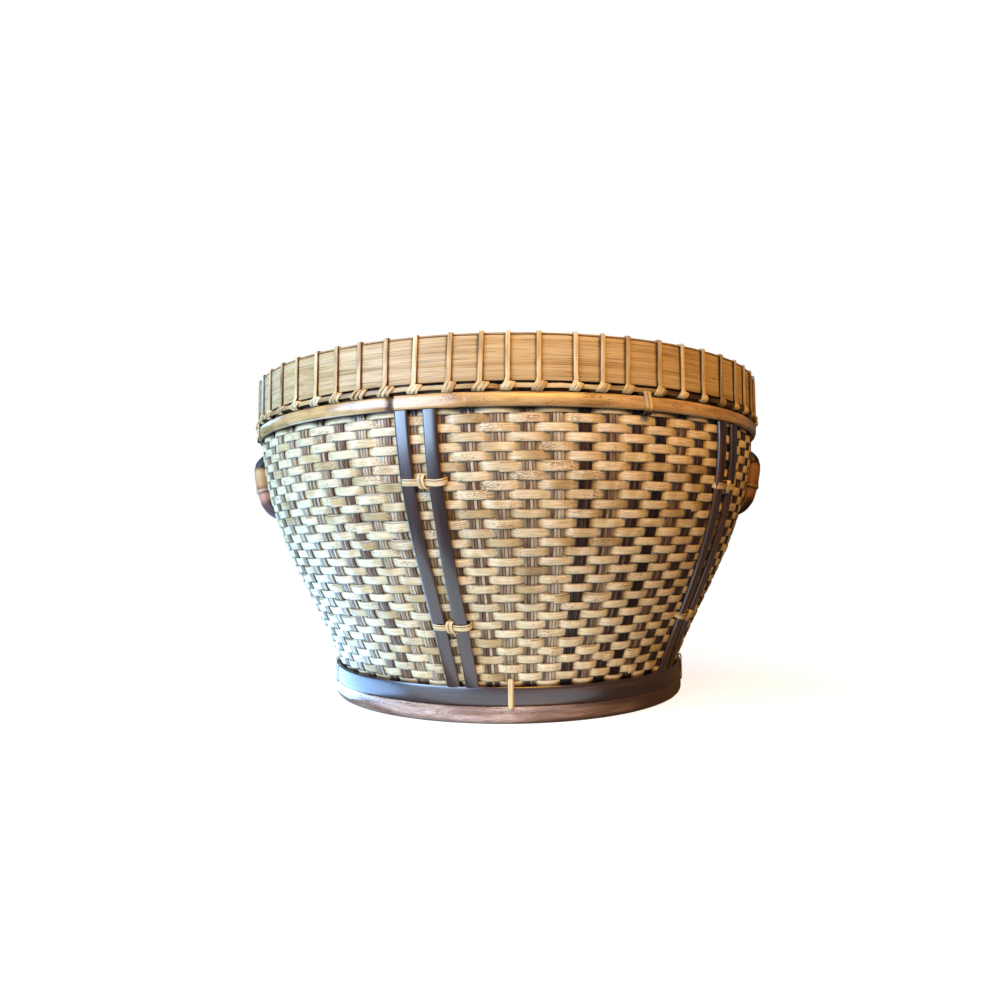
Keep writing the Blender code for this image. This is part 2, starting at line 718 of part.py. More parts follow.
def lug_rings(azimuth, stations, clearance):
    """Circles along the lug's path, which lies in the plane through the basket's axis."""
    heights = [HOOP_BOTTOM - drop for reach, drop, radius in stations]
    reaches = [wall_radius(height) + station[0] for height, station in zip(heights, stations)]
    centres = [polar(reach, azimuth, height) for reach, height in zip(reaches, heights)]
    rings = []
    for i, centre in enumerate(centres):
        before = centres[max(i - 1, 0)]
        after = centres[min(i + 1, len(centres) - 1)]
        side = sideways(azimuth)
        normal = (after - before).normalized().cross(side)
        radius = stations[i][2] + clearance
        ring = []
        for point in range(LUG_SIDES):
            angle = math.tau * point / LUG_SIDES
            ring.append(centre + side * (radius * math.cos(angle)) + normal * (radius * math.sin(angle)))
        rings.append(ring)
    return rings


def add_lugs(woven_body):
    """Two bent lugs whose ends pass through the wall and turn down inside it."""
    for side, azimuth in LUG_AZIMUTHS.items():
        bm = bmesh.new()
        loft(bm, lug_rings(azimuth, LUG_STATIONS, 0.0))
        add_object(f"handle_{side}", bm, (0.42, 0.25, 0.11), roughness=0.4)
        bores = bmesh.new()
        for first, last in (LUG_UPPER_BORE, LUG_LOWER_BORE):
            loft(bores, lug_rings(azimuth, LUG_STATIONS[first:last], HOLE_CLEARANCE))
        add_cutter(f"handle_{side}_bores", bores, woven_body)


def main():
    for leftover in list(bpy.data.objects):
        bpy.data.objects.remove(leftover)
    woven_body = add_woven_body()
    holes = bmesh.new()
    add_bands()
    add_rim_lashing(holes)
    crown, inner_crown = add_hoops()
    add_clips(holes, crown, inner_crown)
    add_ribs(holes)

    hoop_inner_radius = wall_radius(BASE_HOOP_TOP) + FIT_GAP
    hoop_radius = hoop_inner_radius + BASE_HOOP_THICKNESS
    hoop = box_section(hoop_inner_radius, hoop_radius, BASE_HOOP_BOTTOM, BASE_HOOP_TOP)
    add_bent_strip("base_hoop", hoop, BASE_HOOP_JOINT, (0.05, 0.035, 0.035), 0.35)
    foot_ring = add_foot_ring(hoop_radius - FOOT_RING_SETBACK)
    add_base_lashings(holes, foot_ring, hoop_radius)

    add_cutter("wall_strand_holes", holes, woven_body)
    add_lugs(woven_body)


main()
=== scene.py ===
# %% [markdown]
# # A round bamboo basket
#
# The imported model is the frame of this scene: it says where each piece of the basket lies and how large it
# is. Here every piece gets the surface that the eye sees, made strip by strip as a basket maker works.
# Everything is in metres, +Z up, with the basket's axis on Z and its front at -Y.

# %% Load the frame
import math

import bmesh
import bpy
import numpy as np
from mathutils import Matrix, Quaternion, Vector
from mathutils.geometry import interpolate_bezier


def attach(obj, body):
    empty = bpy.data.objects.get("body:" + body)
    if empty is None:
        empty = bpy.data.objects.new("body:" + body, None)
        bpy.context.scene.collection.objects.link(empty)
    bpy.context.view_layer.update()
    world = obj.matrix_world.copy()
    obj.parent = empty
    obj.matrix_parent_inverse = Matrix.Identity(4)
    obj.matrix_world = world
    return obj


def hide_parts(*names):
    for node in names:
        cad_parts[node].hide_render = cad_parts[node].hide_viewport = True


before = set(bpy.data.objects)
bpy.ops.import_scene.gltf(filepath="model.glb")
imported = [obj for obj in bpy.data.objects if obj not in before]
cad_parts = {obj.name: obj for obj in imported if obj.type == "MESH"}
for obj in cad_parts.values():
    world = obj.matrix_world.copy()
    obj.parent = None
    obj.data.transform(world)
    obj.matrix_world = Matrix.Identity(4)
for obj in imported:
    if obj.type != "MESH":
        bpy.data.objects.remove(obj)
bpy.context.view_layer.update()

MM = 0.001

# %% [markdown]
# ## The camera
#
# The photograph was taken from close by with a wide lens, a little under the middle of the basket and
# tilted up, so the rim bows upwards and the foot bows downwards. A lens of 25.5 mm on a 36 mm sensor,
# 572 mm from the basket's axis, gives the same ellipses.

# %% Camera
CAMERA_PLACE = (0.0, -0.5723, 0.112)
CAMERA_LENS = 25.53
CAMERA_YAW = math.radians(-0.55)
CAMERA_PITCH = math.radians(3.32)
CAMERA_ROLL = math.radians(-0.51)

forward = Vector((
    math.sin(CAMERA_YAW) * math.cos(CAMERA_PITCH),
    math.cos(CAMERA_YAW) * math.cos(CAMERA_PITCH),
    math.sin(CAMERA_PITCH),
))
camera = bpy.data.objects.new("camera", bpy.data.cameras.new("camera"))
camera.data.lens = CAMERA_LENS
camera.location = CAMERA_PLACE
camera.rotation_mode = "QUATERNION"
camera.rotation_quaternion = forward.to_track_quat("-Z", "Y") @ Quaternion((0, 0, 1), CAMERA_ROLL)
bpy.context.scene.collection.objects.link(camera)
bpy.context.scene.camera = camera
print("camera at", tuple(camera.location))

# %% [markdown]
# ## Nodes for the materials
#
# Every material here is built from nodes, so it keeps its detail at any distance. One helper adds a node
# with its settings, its links and, on a colour ramp, its stops, and short ones add the commonest kinds.
# Colours are written as hex values, and one function turns them into the renderer's linear values.

# %% Material helpers
def linear(colour):
    """An sRGB hex colour as linear red, green, blue and alpha."""
    channels = [int(colour[i:i + 2], 16) / 255 for i in (1, 3, 5)]
    return (*[c / 12.92 if c <= 0.04045 else ((c + 0.055) / 1.055) ** 2.4 for c in channels], 1.0)


def node(tree, kind, inputs, stops=(), **settings):
    """Add a shader node; each input is a value or another node's output."""
    made = tree.nodes.new("ShaderNode" + kind)
    for name, value in settings.items():
        setattr(made, name, value)
    for name, value in inputs.items():
        if isinstance(value, bpy.types.NodeSocket):
            tree.links.new(value, made.inputs[name])
        else:
            made.inputs[name].default_value = value
    for i, (position, colour) in enumerate(stops):
        elements = made.color_ramp.elements
        stop = elements[i] if i < len(elements) else elements.new(position)
        stop.position = position
        stop.color = linear(colour)
    return made


def new_material(name, **settings):
    """A material, its node tree and its shader, with constant values set on the shader itself."""
    material = bpy.data.materials.new(name)
    material.use_nodes = True
    shader = material.node_tree.nodes["Principled BSDF"]
    for socket, value in settings.items():
        shader.inputs[socket.replace("_", " ")].default_value = value
    return material, material.node_tree, shader


def calculate(tree, operation, *values):
    """A sum, product or other function of numbers and sockets."""
    return node(tree, "Math", dict(enumerate(values)), operation=operation).outputs[0]


def remap(tree, value, *ends):
    """A value carried over from one range to another: from these two ends to those two."""
    return node(tree, "MapRange", dict(enumerate((value, *ends)))).outputs[0]


def blend(tree, share, first, second, kind="MIX"):
    """Two colours mixed, or multiplied."""
    return node(tree, "Mix", {0: share, 6: first, 7: second}, data_type="RGBA", blend_type=kind).outputs[2]


def strip_noise(tree, along_mm, across_mm, detail):
    """Noise in the strip's own coordinates, with spots about this long and this wide."""
    scale = (1 / (along_mm * MM), 1 / (across_mm * MM), 1.0)
    uv = node(tree, "UVMap", {}).outputs["UV"]
    place = node(tree, "VectorMath", {0: uv, 1: scale}, operation="MULTIPLY").outputs[0]
    return node(tree, "TexNoise", {"Vector": place, "Scale": 1.0, "Detail": detail}).outputs["Fac"]


# %% [markdown]
# ## Floor and light
#
# The basket stands on a plain white floor. Cool daylight comes from the left, from two windows and a low
# panel. Only a warm lamp high in front and a weak one above light the right side, so the weave goes from
# pale and cool to golden and dark. Two small cards of light on the floor are there for the dark glossy
# canes to mirror. The camera sees the floor and the sky brighter than they shine on the basket, as a
# photographer burns out a white backdrop, because light thrown back from everywhere would fill the gaps
# of the weave.

# %% Stage helpers
def from_front(azimuth, distance, height):
    """A place round the basket: degrees from the front towards +X, metres from the axis, metres up."""
    turn = math.radians(azimuth)
    return Vector((distance * math.sin(turn), -distance * math.cos(turn), height))


def add_light(name, place, aim, width, height, power, colour):
    """A soft area light. The camera doesn't see it, but glossy canes do."""
    lamp = bpy.data.lights.new(name, "AREA")
    lamp.shape = "RECTANGLE"
    lamp.size, lamp.size_y = width, height
    lamp.energy = power
    lamp.color = linear(colour)[:3]
    made = bpy.data.objects.new(name, lamp)
    made.location = place
    made.rotation_mode = "QUATERNION"
    made.rotation_quaternion = (aim - place).to_track_quat("-Z", "Y")
    made.visible_camera = False
    bpy.context.scene.collection.objects.link(made)


# %% Lights
AIM = Vector((0.0, 0.0, 0.12))
COOL = "#92c6ff"
LIGHTS = (
    ("window", -61, 1.25, 0.66, 0.5, 0.9, 12.4, COOL),
    ("cool_panel", -42, 1.07, 0.33, 0.8, 0.62, 12.5, "#bcdaff"),
    ("back_window", -135, 1.4, 0.9, 0.9, 0.9, 12.0, COOL),
    ("warm_lamp", 14, 1.2, 1.0, 0.8, 0.8, 20.0, "#ffb652"),
    ("ceiling", 0, 0.0, 2.0, 1.3, 1.3, 4.0, "#fff8ee"),
)
FLOOR_CARDS = (
    ("card_left", -86, 0.28, 0.004, 0.34, 0.24, 1.5, "#90c0fa"),
    ("card_front", -12, 0.2, 0.004, 0.3, 0.1, 0.12, "#dce8f4"),
)
for name, azimuth, distance, height, *light in LIGHTS:
    add_light(name, from_front(azimuth, distance, height), AIM, *light)
for name, azimuth, distance, height, *light in FLOOR_CARDS:
    place = from_front(azimuth, distance, height)
    add_light(name, place, place + Vector((0.0, 0.0, 1.0)), *light)

# %% Floor and sky
FLOOR_SIZE = 14.0
SKY_STRENGTH = 0.07
GLOW_NEAR = 0.76
FLOOR_SEEN = "#c8c8c8"
FLOOR_LIT = "#736a60"
bm = bmesh.new()
bmesh.ops.create_grid(bm, x_segments=1, y_segments=1, size=FLOOR_SIZE / 2)
floor_mesh = bpy.data.meshes.new("floor")
bm.to_mesh(floor_mesh)
bm.free()
floor = bpy.data.objects.new("floor", floor_mesh)
bpy.context.scene.collection.objects.link(floor)
floor_paint, tree, shader = new_material("painted_floor", Roughness=0.9, Specular_IOR_Level=0.1)
seen = node(tree, "LightPath", {}).outputs["Is Camera Ray"]
tree.links.new(blend(tree, seen, linear(FLOOR_LIT), linear(FLOOR_SEEN)), shader.inputs["Base Color"])
shader.inputs["Emission Color"].default_value = linear("#ffffff")
place = node(tree, "TexCoord", {}).outputs["Object"]
away = node(tree, "VectorMath", {0: place}, operation="LENGTH").outputs["Value"]
glow = calculate(tree, "MULTIPLY", seen, remap(tree, away, 0.2, 0.7, GLOW_NEAR, 1.0))
tree.links.new(glow, shader.inputs["Emission Strength"])
floor_mesh.materials.append(floor_paint)

world = bpy.data.worlds.new("studio")
world.use_nodes = True
tree = world.node_tree
seen = node(tree, "LightPath", {}).outputs["Is Camera Ray"]
strength = remap(tree, seen, 0.0, 1.0, SKY_STRENGTH, 1.0)
tree.nodes["Background"].inputs["Color"].default_value = linear("#ffffff")
tree.links.new(strength, tree.nodes["Background"].inputs["Strength"])
bpy.context.scene.world = world
bpy.context.scene.view_settings.view_transform = "Standard"

# %% [markdown]
# ## The wall's shape
#
# All pieces lie on one surface of revolution. Its outline leaves the foot leaning outwards and turns
# upright at the shoulder, which is one Bezier curve and a straight end. The radii and heights come from
# the frame. A table of the curve lets any piece ask for the radius and the lean at a height.

# %% Outline
def ring_sizes(name):
    """(inner radius, outer radius, bottom, top) of a ring-shaped CAD node."""
    points = np.array([vertex.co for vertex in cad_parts[name].data.vertices])
    radii = np.hypot(points[:, 0], points[:, 1])
    return radii.min(), radii.max(), points[:, 2].min(), points[:, 2].max()


GAP = 0.3 * MM
WALL_THICKNESS = 3.0 * MM
FOOT_LEAN = math.radians(17.0)
FOOT_PULL = 54 * MM
SHOULDER_PULL = 74 * MM
UPRIGHT_HEIGHT = 33 * MM

FOOT_INNER, FOOT_OUTER, FLOOR_LEVEL, FOOT_TOP = ring_sizes("foot_ring")
HOOP_INNER, HOOP_OUTER, HOOP_BOTTOM, HOOP_TOP = ring_sizes("rim_hoop_outer")
BAND_INNER, BAND_OUTER, BAND_BOTTOM, BAND_TOP = ring_sizes("rim_band_outer")
BASE_INNER, BASE_OUTER, BASE_BOTTOM, BASE_TOP = ring_sizes("base_hoop")
WALL_TOP = BAND_INNER - GAP

body = np.array([vertex.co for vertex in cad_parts["woven_body"].data.vertices])
body_radii = np.hypot(body[:, 0], body[:, 1])
WALL_BOTTOM = body[:, 2].min()
WALL_FOOT = body_radii[body[:, 2] < WALL_BOTTOM + 0.1 * MM].max()

foot = Vector((WALL_FOOT, WALL_BOTTOM))
shoulder = Vector((WALL_TOP, BAND_TOP - UPRIGHT_HEIGHT))
leaving = foot + FOOT_PULL * Vector((math.sin(FOOT_LEAN), math.cos(FOOT_LEAN)))
arriving = shoulder - Vector((0.0, SHOULDER_PULL))
curve = interpolate_bezier(foot, leaving, arriving, shoulder, 200)
outline = np.array([(point.x, point.y) for point in curve] + [(WALL_TOP, BAND_TOP + 5 * MM)])
OUTLINE_RADIUS, OUTLINE_HEIGHT = outline.T
OUTLINE_LEAN = np.arctan2(np.gradient(OUTLINE_RADIUS), np.gradient(OUTLINE_HEIGHT))


def wall_radius(height):
    """The radius of the wall's outer face at a height."""
    return np.interp(height, OUTLINE_HEIGHT, OUTLINE_RADIUS)


def round_axis(azimuth, radius, height):
    """Points at these azimuths, radii and heights."""
    azimuth, radius, height = np.broadcast_arrays(azimuth, radius, height)
    angle = np.radians(azimuth)
    return np.stack([radius * np.sin(angle), -radius * np.cos(angle), height], axis=-1)


def on_wall(azimuth, height, lift=0.0):
    """Points this far out from the wall's outer face, and the way that the wall faces there.

    An azimuth is in degrees, from the front towards +X.
    """
    azimuth, height, lift = np.broadcast_arrays(azimuth, height, lift)
    lean = np.interp(height, OUTLINE_HEIGHT, OUTLINE_LEAN)
    out = round_axis(azimuth, np.cos(lean), -np.sin(lean))
    return round_axis(azimuth, wall_radius(height), height) + out * lift[..., None], out


def degrees_of(length, radius):
    return np.degrees(length / radius)


def rim_shadow_and_base_dark(height):
    """The tint of the weave at a height: a painted shadow just under the rim hoop, and darker just above the
    base hoop.
    """
    heights = (BASE_TOP + 0.5 * MM, BASE_TOP + 2 * MM, HOOP_BOTTOM - 1.5 * MM, HOOP_BOTTOM - 0.5 * MM)
    return np.interp(height, heights, (-0.36, 0.0, 0.0, -0.4))


wall_gap = wall_radius(body[:, 2]) - body_radii
print("the outline leaves the packed wall by at most", round(float(-wall_gap.min()) / MM, 3), "mm")

# %% [markdown]
# ## Strips and strands
#
# Nearly every piece of a basket is a strip or strand that follows a path. One function rolls a flat grid
# into a tube with the strip's section and lays it along the path, with its flat face turned the way it
# should look. Its own coordinates run in metres along the strip and round it, so grain can follow it.

# %% Strand helpers
STRAND_OFFSET = 10.0
MERGE = 1e-6


def unit(vectors):
    return vectors / np.linalg.norm(vectors, axis=-1, keepdims=True)


def distances(points):
    """How far along its path each point is."""
    return np.concatenate([[0.0], np.cumsum(np.linalg.norm(np.diff(points, axis=0), axis=1))])


def cane_section(width, thickness, sides=10, corner=0.5):
    """A rounded, slightly crowned section, as (across, over) points."""
    angle = 2 * np.pi * np.arange(sides) / sides
    across = np.sign(np.cos(angle)) * np.abs(np.cos(angle)) ** corner * width / 2
    over = np.sign(np.sin(angle)) * np.abs(np.sin(angle)) ** corner * thickness / 2
    return np.stack([across, over], axis=-1)


def lath_section(width, thickness, rounding, flats=4):
    """A flat lath whose long edges are rounded, as (across, over) points."""
    points = []
    for quarter, (side, top) in enumerate(((1, 1), (-1, 1), (-1, -1), (1, -1))):
        centre = np.array([side * (width / 2 - rounding), top * (thickness / 2 - rounding)])
        for step in range(3):
            angle = np.pi / 2 * (quarter + step / 2)
            points.append(centre + rounding * np.array([np.cos(angle), np.sin(angle)]))
        if quarter % 2 == 0:
            start = points[-1]
            end = np.array([-start[0], start[1]])
            points += [start + (end - start) * share / flats for share in range(1, flats)]
    return np.array(points)


def dome_section(width, thickness, sides=12, edge=0.3):
    """Flat behind and domed in front, with short upright edges; over = 0 is the flat back."""
    angle = np.pi * np.arange(sides) / (sides - 1)
    dome = np.stack([np.cos(angle) * width / 2, edge + (1 - edge) * np.sin(angle) ** 0.8], axis=-1)
    back = np.array([(-width / 2, 0.0), (width / 2, 0.0)])
    dome[:, 1] *= thickness
    return np.concatenate([dome, back])


def lay_strand(
    bm, centres, facings, section, widths=1.0, thicknesses=1.0, number=0, tint=0.0, height_tint=np.zeros_like,
):
    """Lay a strand of this section along the centres, its front turned to the facings.

    Tint is 0 where the strand has its own colour, less where it is darker and more where it is lighter: for
    smoke, wear and dirt, and for painted light and shade. The height tint gives a tint by height, which is
    added.
    """
    tinted = bm.verts.layers.float.get("tint") or bm.verts.layers.float.new("tint")
    steps, sides = len(centres) - 1, len(section)
    along = unit(np.gradient(centres, axis=0))
    over = unit(facings - along * (facings * along).sum(axis=-1, keepdims=True))
    across = np.cross(along, over)
    shape = np.stack(np.broadcast_arrays(widths, thicknesses), axis=-1)
    shape = np.broadcast_to(shape, (steps + 1, 2))[:, None, :] * section[None]
    rings = centres[:, None] + across[:, None] * shape[..., :1] + over[:, None] * shape[..., 1:]
    rings = np.concatenate([rings, rings[:, :1]], axis=1)

    grid = bmesh.ops.create_grid(bm, x_segments=steps, y_segments=sides, size=1.0)["verts"]
    tints = (np.broadcast_to(tint, steps + 1) + height_tint(rings[..., 2]).T).reshape(-1).tolist()
    for vertex, place, shade in zip(grid, rings.transpose(1, 0, 2).reshape(-1, 3).tolist(), tints):
        vertex.co = place
        vertex[tinted] = shade
    lengths = (distances(centres) + number * STRAND_OFFSET).tolist()
    girths = distances(np.concatenate([section, section[:1]])).tolist()
    layer = bm.loops.layers.uv.verify()
    first = len(bm.faces) - steps * sides
    bm.faces.ensure_lookup_table()
    for j in range(sides):
        for i in range(steps):
            corners = bm.faces[first + j * steps + i].loops
            for corner, (step, side) in zip(corners, ((i, j), (i + 1, j), (i + 1, j + 1), (i, j + 1))):
                corner[layer].uv = (lengths[step], girths[side])


def add_piece(name, bm, material, slot, *nodes, sharp=50.0):
    """Close the strands' ends and put the piece in the frame in place of these CAD nodes."""
    bmesh.ops.remove_doubles(bm, verts=bm.verts, dist=MERGE)
    bmesh.ops.holes_fill(bm, edges=[edge for edge in bm.edges if edge.is_boundary], sides=0)
    mesh = bpy.data.meshes.new(name)
    bm.to_mesh(mesh)
    bm.free()
    mesh.shade_smooth()
    mesh.set_sharp_from_angle(angle=math.radians(sharp))
    mesh.materials.append(material)
    piece = bpy.data.objects.new(name, mesh)
    bpy.context.scene.collection.objects.link(piece)
    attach(piece, "root")
    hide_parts(*nodes)
    mesh.calc_loop_triangles()
    print(name, len(mesh.loop_triangles), "triangles")


def add_strand(name, material, slot, cad_node, centres, facings, section, *shape, sharp=50.0, **look):
    """Lay one strand that is a piece of its own."""
    bm = bmesh.new()
    lay_strand(bm, centres, facings, section, *shape, **look)
    add_piece(name, bm, material, slot, cad_node, sharp=sharp)


def smooth_path(points, per_span=4):
    """More stations on a soft curve through these points."""
    points = np.asarray(points, float)
    padded = np.concatenate([[2 * points[0] - points[1]], points, [2 * points[-1] - points[-2]]])
    t = (np.arange(per_span) / per_span)[:, None]
    made = []
    for a, b, c, d in zip(padded, padded[1:], padded[2:], padded[3:]):
        made.append(b + 0.5 * t * (c - a + t * (2 * a - 5 * b + 4 * c - d + t * (3 * (b - c) + d - a))))
    return np.concatenate([*made, points[-1:]])


# %% [markdown]
# ## What split bamboo, cane and rattan look like
#
# All the strips of this basket are split plants, and they share their marks: tones that drift over a
# few centimetres, fibres that run the whole length, brown flecks, dark edges. The dark edges are dirt,
# and on the weft and the stakes also painted shade in the gaps between strips. So one function
# builds such a surface from the strip's own coordinates, with sizes in millimetres, and each material
# below gives it the tones and sizes of its own plant. The fibres are drawn about half a millimetre
# wide, a little coarser than real ones, so that they show.

# %% Fibrous surface
def fibrous(
    name, section, tones, broad, fibre, depth, roughness,
    fleck=None, fleck_size=(1.7, 0.8), fleck_patch=(21, 9), edge=None, edge_width=0.7, relief=0.15, each=0.0,
    grooves=None, groove_depth=0.5, **settings,
):
    """A split plant's surface: tones, fibres this deep, grooves, flecks, dark edges (dirt, and on some strips
    painted shade) and fine relief.
    """
    material, tree, shader = new_material(name, **{"Specular_IOR_Level": 0.4, **settings})
    uv = node(tree, "UVMap", {}).outputs["UV"]
    along, around = node(tree, "SeparateXYZ", {0: uv}).outputs[:2]
    number = calculate(tree, "FLOOR", calculate(tree, "DIVIDE", along, STRAND_OFFSET))
    chance = node(tree, "TexWhiteNoise", {"W": number}, noise_dimensions="1D").outputs["Value"]
    drift = strip_noise(tree, *broad, 2.0)
    mixed = node(tree, "Mix", {0: each, 2: drift, 3: chance}, data_type="FLOAT").outputs[0]
    tint = node(tree, "Attribute", {}, attribute_name="tint").outputs["Fac"]
    tone = node(tree, "ValToRGB", {"Fac": calculate(tree, "ADD", mixed, tint)}, stops=tones).outputs[0]

    lines = strip_noise(tree, *fibre, 3.0)
    dark = remap(tree, lines, 0.32, 0.66, 1.0 - depth, 1.0 + depth / 3)
    shade = calculate(tree, "MULTIPLY", dark, remap(tree, tint, -0.4, 0.0, 0.1, 1.0))
    height = lines
    if grooves:
        level = calculate(tree, "SUBTRACT", strip_noise(tree, *grooves, 1.0), 0.5)
        groove = remap(tree, calculate(tree, "ABSOLUTE", level), 0.006, 0.036, 1.0 - groove_depth, 1.0)
        shade = calculate(tree, "MULTIPLY", shade, groove)
        height = calculate(tree, "ADD", height, groove)
    colour = blend(tree, 1.0, tone, shade, "MULTIPLY")

    if fleck:
        spots, patches = strip_noise(tree, *fleck_size, 2.0), strip_noise(tree, *fleck_patch, 1.0)
        mask = remap(tree, calculate(tree, "MULTIPLY", spots, patches), 0.32, 0.42, 0.0, 0.7)
        colour = blend(tree, mask, colour, linear(fleck))
    if edge:
        girth = float(np.linalg.norm(np.diff(section, axis=0, append=section[:1]), axis=1).sum())
        wave = calculate(tree, "SINE", calculate(tree, "MULTIPLY", around, 2 * math.pi / girth))
        reach = math.sin(min(2 * math.pi * edge_width * MM / girth, math.pi / 2))
        mask = remap(tree, calculate(tree, "ABSOLUTE", wave), 0.0, reach, 0.95, 0.0)
        colour = blend(tree, mask, colour, linear(edge))

    tree.links.new(colour, shader.inputs["Base Color"])
    rough = remap(tree, lines, 0.3, 0.7, roughness - 0.08, roughness + 0.1)
    tree.links.new(rough, shader.inputs["Roughness"])
    bump = node(tree, "Bump", {"Height": height, "Strength": 0.5, "Distance": relief * MM})
    tree.links.new(bump.outputs[0], shader.inputs["Normal"])
    return material


# %% [markdown]
# ## Split bamboo for the weft
#
# The weft is split bamboo: dry and matt, cream to straw in colour, with brown flecks where the skin was
# scraped off. Its edges are darker, partly from dust and handling and partly as painted shade in the gaps
# between rows.

# %% Weft material
WEFT_WIDTH = 4.9 * MM
WEFT_THICKNESS = 0.95 * MM
WEFT_SECTION = cane_section(WEFT_WIDTH, WEFT_THICKNESS, corner=0.62)
WEFT_TONES = (
    (0.20, "#a3885c"), (0.34, "#ccb580"), (0.42, "#dfca96"), (0.48, "#f4e6be"), (0.54, "#e5d7a8"),
    (0.60, "#f3e1b6"), (0.72, "#d4b986"),
)
# The dark edges are partly dust and partly painted shade in the gaps between rows.
weft_bamboo = fibrous(
    "split_bamboo", WEFT_SECTION, WEFT_TONES, broad=(24, 30), fibre=(11, 0.5), depth=0.34,
    fleck="#6b4524", fleck_size=(1.9, 0.45), edge="#24160a", edge_width=0.92, roughness=0.45, each=0.15,
)

# %% [markdown]
# ## The weave
#
# In plain weave the weft passes in front of one stake and behind the next. With an odd number of stakes,
# the weft can spiral all the way up the wall and change sides at every stake on every turn, which is how
# such baskets are woven. So the weft is one long path: its height climbs steadily and its depth swings
# between the front and the back of the wall. A bamboo splint is about a metre long, so when one runs out
# the weaver lays the next over its end for a few stakes. Every splint has its own tone. In front of a
# stake it is a little narrower than behind, where the splints lie side by side and close the wall.

# %% Weft
STAKES = 71
STAKE_SPACING = 360.0 / STAKES
STAKE_TWIST = 2.6
WEFT_START = 17.3 * MM
WEFT_END = 204.0 * MM
WEFT_PITCH = 5.6 * MM
WEFT_TIGHTENING = 0.0125 * MM
WEFT_PIECES = 4
SPLINT_STAKES = (52, 90)
SPLINT_WIDTHS = (0.95, 1.04)
WEFT_LAP = 3
LAP_LIFT = 0.5 * MM
LAP_SAG = 0.9 * MM
WEFT_DEPTH = 0.93 * MM
STEPS_PER_STAKE = 10
MIDDLE = -WALL_THICKNESS / 2
random = np.random.default_rng(7)


def stake_azimuth(stake, height):
    """Stakes lean sideways a little, all the same way, from the rim down to the foot."""
    share = (BAND_BOTTOM - np.asarray(height)) / (BAND_BOTTOM - BASE_TOP)
    return (stake + 0.63) * STAKE_SPACING + STAKE_TWIST * share


def swing(phase):
    """From 1 in front of a stake to -1 behind the next, dwelling at both ends."""
    wave = np.cos(np.pi * phase)
    return wave * (1.5 - 0.5 * wave ** 2)


def wander(positions, every, size):
    """Smooth unevenness of about this size, with a new value each so many units."""
    count = int(positions.max() / every) + 3
    values = random.normal(0.0, size, count)
    return np.interp(positions / every, np.arange(count), values)


def row_height(turn):
    """The weaver packs the rows a little tighter on the way up."""
    return WEFT_START + turn * WEFT_PITCH - turn ** 2 * WEFT_TIGHTENING / 2


turns = int(np.argmax(row_height(np.arange(60.0)) > WEFT_END))
stations = np.arange(turns * STAKES * STEPS_PER_STAKE + 1) / STEPS_PER_STAKE
weft_height = row_height(stations / STAKES)
weft_azimuth = stake_azimuth(stations, weft_height)
side = swing(stations)
sideways = wander(stations, 1.0, 0.16 * MM) + wander(stations, 5.0, 0.16 * MM)
depth = MIDDLE + side * (WEFT_DEPTH + wander(stations, 2.0, 0.07 * MM))
sideways *= np.interp(weft_height, (150 * MM, 185 * MM), (1.0, 0.4))
weft_width = np.interp(side, (-0.3, 0.1, 0.4, 0.7), (1.33, 1.29, 1.17, 1.2)) + wander(stations, 2.0, 0.03)
weft_width *= np.gradient(weft_height) / np.gradient(weft_height).mean()
# Each stretch has its own tone, and the weft is painted darker where it passes behind a stake, as the shade
# in that recess.
weft_tint = wander(stations, 2.0, 0.04) - 0.1 * np.clip(-side, 0.0, 1.0)
first = 0
splint = 0
weft_meshes = [bmesh.new() for piece in range(WEFT_PIECES)]
while first < len(stations) - 1:
    last = first + (int(random.integers(*SPLINT_STAKES)) // 2 * 2 + WEFT_LAP) * STEPS_PER_STAKE
    part = slice(first, last + 1)
    count = len(stations[part])
    lap = np.clip(WEFT_LAP - np.arange(count) / STEPS_PER_STAKE, 0.0, 1.0) * (first > 0)
    lift = np.minimum(depth[part] + lap * LAP_LIFT, -WEFT_THICKNESS / 2 + lap * 0.7 * LAP_LIFT)
    height = weft_height[part] + sideways[part] - lap * LAP_SAG
    centres, facings = on_wall(weft_azimuth[part], height, lift)
    bm = weft_meshes[first * WEFT_PIECES // len(stations)]
    wide = weft_width[part] * random.uniform(*SPLINT_WIDTHS)
    lay_strand(bm, centres, facings, WEFT_SECTION, wide, number=splint, tint=weft_tint[part], height_tint=rim_shadow_and_base_dark)
    first = last - WEFT_LAP * STEPS_PER_STAKE
    splint += 1
for piece, bm in enumerate(weft_meshes):
    add_piece(f"weft_{piece + 1}", bm, weft_bamboo, "woven_bamboo", "woven_body")
print("turns of weft:", turns, "splints:", splint)

# %% [markdown]
# ## The stakes
#
# Each stake is a bundle of four thin splints side by side. They start in the floor, turn up at the foot
# and run to the rim. Between two turns of weft they show as small windows, bowed out where the weft
# passes behind them and pressed in where it crosses in front. Each splint is its own strand with a tone
# of its own, because they come from different canes, and some bundles are smoked darker than others.
# From the left side to the front right their darkness is taken from the photograph, so it is partly
# painted light and shade: paler at the left, where the cool light falls, and darker towards the right.

# %% Stake material
SPLINTS = 4
SPLINT_WIDTH = 1.92 * MM
SPLINT_THICKNESS = 1.2 * MM
SPLINT_SECTION = cane_section(SPLINT_WIDTH, SPLINT_THICKNESS, sides=6)
STAKE_TONES = (
    (0.10, "#2a1917"), (0.28, "#432c21"), (0.42, "#6a503b"), (0.55, "#917c60"), (0.68, "#b5a788"),
    (0.85, "#d8ccb0"),
)
